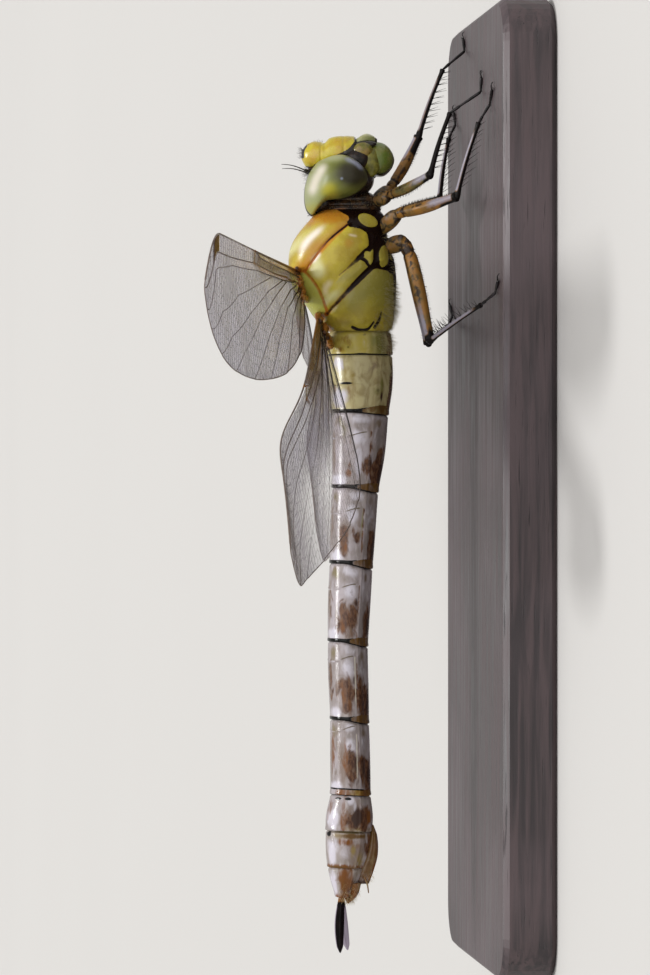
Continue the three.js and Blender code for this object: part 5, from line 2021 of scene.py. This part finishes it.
HIND_VEINS = (
    Vein(((0, 0), (1, 0)), 0.12, 0.07, 0.1),
    Vein(((0, 0.25), (0.03, 0.12), (0.12, 0.07), (0.38, 0.04), (0.42, 0.0)), 0.07, 0.05, -0.1),
    Vein(((0, 0.4), (0.03, 0.2), (0.12, 0.12), (0.42, 0.08), (0.9, 0.16), (1, 0.5)), 0.1, 0.055, 0.14),
    Vein(((0.06, 0.17), (0.15, 0.15), (0.42, 0.13), (0.7, 0.18), (0.88, 0.3), (0.98, 1)), height=-0.06),
    Vein(((0.28, 0.15), (0.45, 0.24), (0.65, 0.38), (0.83, 0.64), (0.94, 1)), 0.05, 0.035, 0.06),
    Vein(((0.18, 0.16), (0.36, 0.27), (0.56, 0.47), (0.75, 0.77), (0.85, 1)), 0.055, 0.035, -0.05),
    Vein(((0.13, 0.16), (0.28, 0.29), (0.46, 0.5), (0.63, 0.8), (0.72, 1)), 0.06, 0.035, 0.07),
    Vein(((0.06, 0.2), (0.14, 0.24), (0.28, 0.38), (0.42, 0.6), (0.58, 1)), 0.07, 0.035, -0.07),
    Vein(((0, 0.5), (0.05, 0.3), (0.14, 0.33), (0.28, 0.5), (0.4, 0.76), (0.47, 1)), 0.08, 0.035, 0.09),
    Vein(((0, 0.55), (0.05, 0.36), (0.12, 0.4), (0.2, 0.56), (0.3, 0.85), (0.35, 1)), 0.08, 0.04, -0.05),
    Vein(((0, 0.6), (0.05, 0.45), (0.1, 0.5), (0.16, 0.7), (0.23, 1)), 0.07, 0.04, 0.06),
    Vein(((0, 0.7), (0.04, 0.6), (0.08, 0.72), (0.12, 1)), 0.06, 0.04, -0.04),
    Vein(((0, 1), (1, 1)), 0.06, 0.04, 0.0),
)
FORE_TRAILING = (
    (0, 2.6), (3, 5.2), (8, 7.9), (15, 9.8), (24, 10.8), (32, 10.9), (38.5, 10.1),
    (43, 8.4), (45.5, 6.5), (46.5, 5.2),
)
HIND_TRAILING = (
    (0, 2.4), (1.2, 2.8), (2.5, 5.2), (4, 8.6), (6, 11.8), (8.5, 13.5), (13, 14), (22, 13.3), (30, 12.5),
    (36.5, 11), (41.5, 8.6), (44, 6.3), (45, 5),
)


@dataclass
class Wing:
    """One wing: a pleated membrane on main veins, with a net of cross veins and a root of plates."""

    name: str
    side: Side
    hinge: Place
    length: float
    forward: float
    rise: float
    dip: tuple[float, float]
    arch: float
    arch_at: float
    trailing: Rows
    veins: tuple[Vein, ...]
    nodus: float
    clear: float = 0.0
    cell: float = 0.74
    seed: int = 1
    rows: int = 180
    columns: int = 64
    steps: int = 110

    def frame(self) -> tuple[Array, Array, Array]:
        """The wing's directions: out along it, back and up."""
        forward, rise = math.radians(self.forward), math.radians(self.rise)
        level, side = math.cos(rise), self.side.value
        out = np.array([math.sin(forward) * level, side * math.cos(forward) * level, math.sin(rise)])
        back = np.array([-1.0, 0, 0]) + out * out[0]
        back /= np.linalg.norm(back)
        up = np.cross(out, back) * side
        return out, back, up / np.linalg.norm(up)

    def point(self, along: Array, across: Array, proud: Array | float = 0.0) -> Array:
        """Finds places on the wing.

        Args:
            along: Distances out from the hinge.
            across: Distances back from the leading edge's line.
            proud: Distances above the wing.

        Returns:
            The points on the body.
        """
        along, across, proud = (part[..., None] for part in np.broadcast_arrays(along, across, proud))
        out, back, up = self.frame()
        share = (along + WING_TENON) / (self.length + WING_TENON)
        dip = np.radians(self.dip[0] + (self.dip[1] - self.dip[0]) * share)
        chord = back * np.cos(dip) - up * np.sin(dip)
        normal = up * np.cos(dip) + back * np.sin(dip)
        arch = self.arch * hill(along / self.length, self.arch_at, 0.2)
        hinge = np.array(self.hinge) * (1, self.side.value, 1)
        return hinge + out * along + up * arch + chord * across + normal * proud

    def edges(self, along: Array) -> tuple[Array, Array]:
        """How far back the leading and trailing edges are at places along the wing."""
        curve = 4.2 * np.maximum((along / self.length - 0.85) / 0.15, 0) ** 2.2
        return curve, row_at(self.trailing, np.ravel(along))[:, 1].reshape(np.shape(along))

    def lines(self, along: Array) -> Array:
        """How far back each main vein is at places along the wing, one row a vein."""
        lead, trail = self.edges(along)
        shares = []
        for vein in self.veins:
            path = np.array(vein.path)
            share = np.interp(along / self.length, path[:, 0], path[:, 1])
            if shares:
                share = np.where(along / self.length < path[0, 0], shares[-1], np.maximum(share, shares[-1]))
            shares.append(share)
        return lead + np.array(shares) * (trail - lead)

    def pleat(self, along: Array, across: Array) -> Array:
        """How far the membrane stands above the wing's middle surface, straight between veins."""
        lines = self.lines(along)
        proud = np.full(np.shape(along), self.veins[0].height)
        for front, rear, low, high in zip(lines[:-1], lines[1:], self.veins[:-1], self.veins[1:]):
            share = np.clip((across - front) / np.maximum(rear - front, 0.02), 0, 1)
            proud = proud + share * (high.height - low.height)
        return proud * fade(along / self.length, 1.05, 0.3)

    def build(self, membrane: Material, vein: Material, plates: Material) -> None:
        """Builds the membrane, the veins and the root plates."""
        self.sheet(membrane)
        self.net(vein)
        self.root(plates)

    def sheet(self, finish: Material) -> None:
        """Builds the membrane as a thin closed skin."""
        share = np.linspace(0, 1, self.rows) ** 1.15
        along = self.length * (0.006 + 0.992 * share)[:, None] + np.zeros(self.columns)
        lead, trail = self.edges(along)
        back = np.linspace(0.002, 0.998, self.columns)
        across = lead + back * (trail - lead)
        proud = self.pleat(along, across)
        out = along / self.length
        stigma = fade(out, 0.865, 0.87) * fade(out, 0.925, 0.92)
        stigma = stigma * fade(across, self.lines(along)[2] + 0.03, self.lines(along)[2] - 0.03)
        half = 0.014 + 0.03 * stigma
        top = self.point(along, across, proud + half)
        under = self.point(along, across, proud - half)[:, ::-1]
        lobe = fade(out, self.nodus + 0.03, self.nodus - 0.05) * fade(back, 0.3, 0.05)
        marks = {
            "stigma": stigma,
            "amber": np.maximum(lobe * 0.8, 0.9 * hill(out, self.nodus, 0.012) * fade(back, 0.16, 0.1)),
            "smoke": np.maximum(0.7 * fade(back, 0.9, 1.0), 0.8 * fade(out, 0.93, 1.0)),
            "root": fade(out, 0.16, 0.02),
            "haze": self.haze(out, back),
        }
        full = {name: part + 0 * out for name, part in marks.items()}
        both = {name: np.concatenate([part, part[:, ::-1]], 1) for name, part in full.items()}
        form = Form()
        form.loft(np.concatenate([top, under], 1), **both)
        form.make(f"{self.name}_membrane", finish, Slot.WING, [self.name])

    def haze(self, out: Array, back: Array) -> Array:
        """How milky the membrane is: clear in the rear of the hindwing's inner half."""
        return 1 - self.clear * fade(back, 0.3, 0.6) * fade(out, 0.75, 0.5)

    def net(self, finish: Material) -> None:
        """Builds the main veins and the cross veins."""
        form = Form()
        for index, vein in enumerate(self.veins):
            start, end = vein.path[0][0], min(vein.path[-1][0], WING_END)
            along = self.length * np.linspace(start, end, self.steps)
            across = self.lines(along)[index]
            share = np.linspace(0, 1, self.steps)
            radii = vein.root + (vein.tip - vein.root) * fade(share, 0, 0.6)
            dark = 0.35 + 0.65 * fade(along, 14, 3)
            amber = (0.8 if index in (0, 2) else 0.0) * fade(along, self.length * self.nodus, 4)
            amber = np.maximum(amber, hill(along, self.length * self.nodus, 0.6) * (index < 3))
            points = self.point(along, across, self.pleat(along, across))
            back = (across - self.edges(along)[0]) / np.ptp(self.edges(along), axis=0)
            faint = (1 - self.haze(along / self.length, back)) * 0.75 + 0.45 * fade(along, 5, 18)
            faint = np.clip(faint, 0, 1) * (2 < index < len(self.veins) - 1)
            form.limb(points, radii, 6, dark=dark, amber=amber, faint=faint)
        last = np.full(8, WING_END * self.length)
        lead, trail = self.edges(last)
        tip = lead + np.linspace(0, 1, 8) * (trail - lead)
        bow = 0.25 * np.sin(np.linspace(0, np.pi, 8))
        form.limb(self.point(last + bow, tip, 0.0), 0.045, 6, dark=0.3, amber=0.0, faint=0.0)
        starts, ends = self.crossings()
        rods = [self.point(*part.T, self.pleat(*part.T)) for part in (starts, ends)]
        edges = self.edges(starts[:, 0])
        back = (starts[:, 1] - edges[0]) / (edges[1] - edges[0])
        faint = 1 - 0.32 * self.haze(starts[:, 0] / self.length, back)
        dark = 0.2 + 0.6 * fade(starts[:, 0], 12, 3)
        form.rods(*rods, CROSS_VEIN_RADIUS, CROSS_VEIN_RADIUS, dark=dark, amber=0.0, faint=faint)
        form.make(f"{self.name}_veins", finish, Slot.WING)

    def seeds(self) -> tuple[Array, Array, Array]:
        """Places one seed for each cell.

        Returns:
            The seeds' places along and across, the strip between veins that each is in, and whether
            each is alone across its strip.
        """
        draw = np.random.default_rng(self.seed)
        places, strips, alone = [], [], []
        for strip in range(len(self.veins) - 1):
            along = 1.6 + draw.random() * 0.4
            odd = False
            while along < self.length * 0.985:
                front, rear = self.lines(np.array([along]))[strip : strip + 2, 0]
                pace = self.cell * (1.25 if strip < 2 else 1.0)
                count = int(round((rear - front) / self.cell)) if rear - front > 0.16 else 0
                for k in range(count):
                    shift = 0.25 * (1 if odd else -1) if count > 1 else 0
                    share = np.clip((k + 0.5 + shift) / count, 0.15 / count, 1 - 0.15 / count)
                    jitter = draw.uniform(-0.09, 0.09, 2) * self.cell * (count > 1)
                    places.append((along + jitter[0], front + share * (rear - front) + jitter[1]))
                    strips.append(strip)
                    alone.append(count == 1)
                if count == 0 and rear - front > 0.16:
                    places.append((along, (front + rear) / 2))
                    strips.append(strip)
                    alone.append(True)
                along += pace * draw.uniform(0.88, 1.12)
                odd = not odd
        return np.array(places), np.array(strips), np.array(alone)

    def crossings(self) -> tuple[Array, Array]:
        """Finds the cross veins.

        Returns:
            Where each starts and ends, as places along and across.
        """
        places, strips, alone = self.seeds()
        starts, ends = [], []
        for strip in range(len(self.veins) - 1):
            row = np.sort(places[(strips == strip) & alone, 0])
            if len(row) < 2:
                continue
            middle = (row[1:] + row[:-1]) / 2
            middle = middle[np.diff(row) < 1.6 * self.cell * 1.3]
            lines = self.lines(middle)
            starts.append(np.stack([middle, lines[strip]], 1))
            ends.append(np.stack([middle + 0.06, lines[strip + 1]], 1))
        trail = self.edges(places[:, 0])[1]
        beyond = trail - places[:, 1] < 1.5 * self.cell
        ghosts = np.stack([places[beyond, 0], 2 * trail[beyond] - places[beyond, 1]], 1)
        cloud = np.vstack([places, ghosts])
        strip_of = np.concatenate([strips, np.full(len(ghosts), len(self.veins) - 1)])
        single = np.concatenate([alone, np.zeros(len(ghosts), bool)])
        triangles = np.array(delaunay_2d_cdt([Vector(p) for p in cloud], [], [], 0, 1e-6)[2])
        corner = cloud[triangles]
        centres = middle_of_circles(corner)
        spread = strip_of[triangles]
        mixed = spread.min(1) != spread.max(1)
        held = np.clip(centres[:, 0], 0.5, self.length * NET_END)
        lines = self.lines(held)
        centres[mixed, 1] = lines[spread.max(1), np.arange(len(held))][mixed]
        sides: dict[tuple[int, int], list[int]] = {}
        for number, (a, b, c) in enumerate(triangles):
            for pair in ((a, b), (b, c), (c, a)):
                sides.setdefault((min(pair), max(pair)), []).append(number)
        for (a, b), faces in sides.items():
            if len(faces) < 2 or strip_of[a] != strip_of[b] or (single[a] and single[b]):
                continue
            if strip_of[a] == len(self.veins) - 1:
                continue
            first, second = (self.held(centres[face], strip_of[a]) for face in faces)
            if np.linalg.norm(first - second) < 2.2 * self.cell and min(first[0], second[0]) > 1.2:
                starts.append(first[None])
                ends.append(second[None])
        starts, ends = np.vstack(starts), np.vstack(ends)
        inside = np.maximum(starts[:, 0], ends[:, 0]) < self.length * NET_END
        keep = inside & (np.linalg.norm(starts - ends, axis=1) > 2 * CROSS_VEIN_RADIUS)
        return starts[keep], ends[keep]

    def held(self, place: Array, strip: int) -> Array:
        """A place moved across the wing, if need be, to stay in a strip between two veins."""
        lines = self.lines(place[:1])[:, 0]
        return np.array([place[0], np.clip(place[1], lines[strip], lines[strip + 1])])

    def root(self, finish: Material) -> None:
        """Builds the lumpy plates and struts by which the wing joins the trunk."""
        draw = np.random.default_rng(self.seed + 40)
        form = Form()
        share = np.linspace(0, 1, 18)
        for row, across in enumerate(np.linspace(-0.12, 2.85, 11)):
            start, far = draw.uniform(-0.75, -0.3), draw.uniform(0.5, 1.45)
            sway = 0.12 * np.sin(4 * share + draw.uniform(0, 6)) - 0.15 * share * (across - 1.2)
            path = self.point(start + (far - start) * share, across + sway, draw.uniform(-0.16, 0.12))
            knuckle = 1 + 0.12 * np.sin(draw.uniform(6, 11) * share + row)
            belly = 0.3 + 0.7 * np.sin(np.pi * np.clip(share, 0.04, 0.96)) ** 0.6
            radii = draw.uniform(0.2, 0.32) * belly * knuckle
            rust, stain = draw.random(), draw.random()
            form.limb(path, radii, 12, rust=rust, dark=0.8 * stain**2 + 0.3 * fade(share, 0.7, 1))
        for across in (0.1, 1.0, 1.75, 2.35):
            path = self.point(np.linspace(-0.6, 1.8, 14), across + np.linspace(0, 0.35, 14), 0.05)
            form.limb(path, np.linspace(0.17, 0.08, 14), 10, rust=0.4, dark=np.linspace(0, 0.9, 14))
        form.make(f"{self.name}_root", finish, Slot.THORAX)


def middle_of_circles(corner: Array) -> Array:
    """The middle of the circle through each triangle's corners."""
    a, b, c = corner[:, 0], corner[:, 1] - corner[:, 0], corner[:, 2] - corner[:, 0]
    area = 2 * (b[:, 0] * c[:, 1] - b[:, 1] * c[:, 0])
    area = np.where(np.abs(area) < 1e-9, 1e-9, area)
    square_b, square_c = (b**2).sum(1), (c**2).sum(1)
    x = (c[:, 1] * square_b - b[:, 1] * square_c) / area
    y = (b[:, 0] * square_c - c[:, 0] * square_b) / area
    return a + np.stack([x, y], 1)


@dataclass
class Wings:
    """The four wings."""

    def build(self) -> None:
        """Builds them."""
        fore, hind = (FORE_TRAILING, FORE_VEINS, 0.5), (HIND_TRAILING, HIND_VEINS, 0.42)
        front, rear = (19.3, 2.4, 20.35), (15.3, 2.5, 18.4)
        right, left = Side.RIGHT, Side.LEFT
        wings = (
            Wing("wing_fore_right", right, front, 46.5, 1.3, 8.4, (14, 0), 0, 0.7, *fore, seed=11),
            Wing("wing_fore_left", left, front, 46.5, 6.5, 1.2, (14, 4), 0, 0.7, *fore, seed=12),
            Wing("wing_hind_right", right, rear, 45, -20.5, 3.2, (19, 5), 1.2, 0.72, *hind, 0.88, seed=13),
            Wing("wing_hind_left", left, rear, 45, -19, 1.0, (17, 6), 0.6, 0.72, *hind, 0.8, seed=14),
        )
        membrane, vein, plates = MembraneFinish().make(), VeinFinish().make(), PlateFinish().make()
        for wing in wings:
            wing.build(membrane, vein, plates)


# --- Coat ---


@dataclass(frozen=True)
class Field:
    """A stretch of one barrel that carries hair: where it lies and how its hairs grow."""

    rows: Rows
    along: tuple[float, float]
    down: tuple[float, float]
    count: int
    length: float
    lie: Place
    rise: float = 0.7
    sink: float = 0.0

    def tuft(self, draw: np.random.Generator, radius: float) -> Tuft:
        """Sows the field on both sides.

        Args:
            draw: The source of chance.
            radius: The hairs' radius at the root.

        Returns:
            The hairs.
        """
        places = draw.uniform(*self.along, self.count)
        turn = np.pi * draw.uniform(*self.down, self.count)
        side = draw.choice([-1.0, 1.0], self.count)
        _, back, belly, half = row_at(self.rows, places).T
        half, deep = half - self.sink, (back - belly) / 2 - self.sink
        roots = np.stack([places, side * half * np.sin(turn), (back + belly) / 2 + deep * np.cos(turn)], 1)
        out = directions(np.stack([0 * turn, side * np.sin(turn) / half, np.cos(turn) / deep], 1))
        ahead, level, up = (np.full(self.count, part) for part in self.lie)
        lie = np.stack([ahead, side * level, up], 1)
        aims = out * self.rise + lie + draw.normal(0, 0.22, (self.count, 3))
        share = (places - self.along[0]) / np.ptp(self.along)
        taper = np.sin(np.pi * (0.1 + 0.8 * share)) ** 0.7
        lengths = self.length * draw.uniform(0.5, 1.15, self.count) * taper
        patches = np.stack([(places + MAP_SPAN / 2) / MAP_SPAN, 0.5 + side * turn / (2.1 * np.pi)], 1)
        return Tuft(roots, aims, lengths, patches, radius)


@dataclass
class Coat:
    """The hair: a pale fringe under the thorax, dark bristles on the head, and brushes at the tail."""

    seed: int = 5
    brush_count: int = 240

    def build(self) -> None:
        """Grows the hair as joined pieces."""
        thorax, abdomen = Thorax().rows, Abdomen().rows
        pale = HairFinish("pale_hair", "#7d6f42", "#b9ad7c").make()
        dark = HairFinish("dark_hair", "#17110f", "#2e2521").make()
        gold = HairFinish("gold_hair", "#9a6f2e", "#d3c28e").make()
        fringe = (
            Field(thorax, (14.2, 18.6), (0.76, 1.0), 1500, 0.9, (-0.3, 0, -0.3), sink=0.05),
            Field(thorax, (14.0, 16.0), (0.66, 0.9), 420, 0.6, (-0.5, 0, -0.2), sink=0.05),
            Field(thorax, (18.5, 24.4), (0.85, 1.0), 420, 0.45, (-0.1, 0, -0.3), sink=0.05),
            Field(abdomen, (12.2, 14.1), (0.66, 1.0), 420, 0.7, (-0.4, 0, -0.3), sink=0.05),
            Field(abdomen, (7.0, 12.2), (0.84, 1.0), 220, 0.35, (-0.5, 0, -0.3), sink=0.05),
            Field(Prothorax().rows, (24.6, 26.2), (0.1, 1.0), 420, 0.4, (0.4, 0, 0), sink=0.1),
        )
        self.grow("fringe", fringe, pale, 0.009, Slot.THORAX)
        down = (
            Field(thorax, (22.4, 24.6), (0.0, 0.35), 500, 0.32, (-0.2, 0, 0.1), sink=0.03),
            Field(abdomen, (-36.4, -34.4), (0.3, 1.0), 260, 0.6, (-1, 0, -0.2), sink=0.1),
            Field(Tail().ovipositor, (-34.9, -33.6), (0.4, 1.0), 60, 0.6, (-0.8, 0, -0.3), sink=0.05),
        )
        self.grow("down", down, gold, 0.01, Slot.ABDOMEN)
        self.brush(gold)
        self.bristles(dark)

    def brush(self, finish: Material) -> None:
        """Grows the pale brush round the flaps at the very end."""
        draw, count = np.random.default_rng(self.seed + 2), self.brush_count
        share, turn = draw.uniform(0, 1, count), draw.uniform(0, 2 * np.pi, count)
        wide = 0.62 * (1 - share) ** 0.7
        round_it = np.stack([0 * turn, np.cos(turn), np.sin(turn)], 1)
        middle = np.stack([-35.3 - 1.1 * share, 0 * share, 15.55 + 0.25 * share], 1)
        aims = round_it * 0.7 + (-1, 0, -0.1) + draw.normal(0, 0.2, (count, 3))
        patches = np.stack([0.1 + 0.02 * share, turn / 7], 1)
        form = Form()
        lengths = draw.uniform(0.3, 0.65, count)
        Tuft(middle + round_it * wide[:, None], aims, lengths, patches, 0.009).grow(form, draw)
        form.make("hair_brush", finish, Slot.ABDOMEN)

    def grow(self, name: str, fields: Sequence[Field], finish: Material, radius: float, slot: Slot) -> None:
        """Grows one piece of hair from its fields."""
        draw = np.random.default_rng(self.seed)
        form = Form()
        for one in fields:
            one.tuft(draw, radius).grow(form, draw)
        form.make(f"hair_{name}", finish, slot)

    def bristles(self, finish: Material) -> None:
        """Grows the dark bristles of the frons and the crown."""
        draw = np.random.default_rng(self.seed + 1)
        form = Form()
        beds = (
            ((29.7, 0.0, 19.75), (0.35, 0.5, 0.12), (0.35, 0, 1.0), 60, 0.62),
            ((30.35, 0.0, 19.25), (0.12, 0.9, 0.3), (1.0, 0, 0.45), 26, 0.3),
            ((30.75, 0.0, 18.5), (0.06, 1.2, 0.4), (1.0, 0, 0.3), 20, 0.22),
            ((28.2, 0.0, 19.2), (0.35, 0.7, 0.15), (-0.1, 0, 1.0), 54, 0.85),
            ((27.2, 0.0, 19.4), (0.6, 0.25, 0.1), (-0.2, 0, 1.0), 18, 0.45),
            ((24.6, 0.0, 19.1), (0.3, 0.4, 0.15), (-0.5, 0, 1.0), 24, 0.45),
        )
        for middle, reach, aim, count, length in beds:
            shift = draw.uniform(-1, 1, (count, 3))
            roots = np.array(middle) + shift * np.array(reach)
            aims = np.array(aim) + shift * (0.3, 0.35, 0) + draw.normal(0, 0.16, (count, 3))
            patches = 0.5 + roots[:, :2] / MAP_SPAN
            Tuft(roots, aims, length * draw.uniform(0.6, 1.2, count), patches, 0.01).grow(form, draw)
        form.make("hair_bristles", finish, Slot.BLACK)


# --- Stage ---


@dataclass
class Stage:
    """The floor, the light and the camera."""

    aim: Place = (0.2208, 0.0, 17.91)
    distance: float = 380.0
    lens: float = 158.8
    sensor: float = 36.0
    floor_size: float = 8.0
    floor_drop: float = 0.02

    def build(self) -> None:
        """Sets the stage."""
        self.lay_floor()
        self.light()
        self.place_camera()

    def lay_floor(self) -> None:
        """Lays a pale floor just under the base."""
        half = self.floor_size / 2
        height = BASE_LOW.z - self.floor_drop * MM
        corners = [(-half, -half, height), (half, -half, height), (half, half, height), (-half, half, height)]
        mesh = bpy.data.meshes.new("floor")
        mesh.from_pydata(corners, [], [(0, 1, 2, 3)])
        mesh.materials.append(FloorFinish().make())
        floor = bpy.data.objects.new("floor", mesh)
        bpy.context.collection.objects.link(floor)

    def light(self) -> None:
        """Adds the soft light of a studio: a pale room, a wide key from above and a wider fill."""
        scene = bpy.context.scene
        scene.view_settings.view_transform = "Standard"
        world = bpy.data.worlds.new("room")
        scene.world = world
        world.use_nodes = True
        background = world.node_tree.nodes["Background"]
        background.inputs["Color"].default_value = (1.0, 0.985, 0.965, 1.0)
        background.inputs["Strength"].default_value = 0.55
        self.lamp("key", (60, -20, 900), 1.5, 14)
        self.lamp("fill", (150, -620, 560), 1.15, 60)

    def lamp(self, name: str, place: Place, power: float, width: float) -> None:
        """Adds a broad far lamp that points at the insect.

        Args:
            name: The lamp's name.
            place: A place on the line to it, in millimetres from the base.
            power: Its power.
            width: How wide it looks, in degrees.
        """
        light = bpy.data.lights.new(name, "SUN")
        light.energy = power
        light.angle = math.radians(width)
        lamp = bpy.data.objects.new(name, light)
        lamp.location = standing(place)
        aim = Vector(standing(self.aim)) - lamp.location
        lamp.rotation_euler = aim.to_track_quat("-Z", "Y").to_euler()
        bpy.context.collection.objects.link(lamp)

    def place_camera(self) -> None:
        """Looks square at the right side of the leaning body, head up in the picture."""
        cos, sin = math.cos(BODY_LEAN), -math.sin(BODY_LEAN)
        right, up, back = Vector((0, -sin, -cos)), Vector((1, 0, 0)), Vector((0, -cos, sin))
        data = bpy.data.cameras.new("camera")
        data.lens = self.lens
        data.sensor_width = self.sensor
        data.clip_start = 0.01
        data.clip_end = 50.0
        camera = bpy.data.objects.new("camera", data)
        place = Vector(standing(self.aim)) + back * self.distance * MM
        camera.matrix_world = Matrix.Translation(place) @ Matrix((right, up, back)).transposed().to_4x4()
        bpy.context.collection.objects.link(camera)
        bpy.context.scene.camera = camera


@dataclass
class Base:
    """The wooden base, which keeps its solid."""

    def build(self) -> None:
        """Gives the solid its wood."""
        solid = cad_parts["stand_base"]
        finish = WoodFinish().make()
        for slot in solid.material_slots:
            slot.material = finish


def main() -> None:
    """Builds the stage and the insect."""
    logging.basicConfig(level=logging.INFO, format="%(message)s")
    for part in PARTS:
        LOG.info("building %s", type(part).__name__)
        part.build()


PARTS = (Stage(), Base(), Thorax(), Prothorax(), Abdomen(), Head(), Legs(), Tail(), Wings(), Coat())

if __name__ == "__main__":
    main()
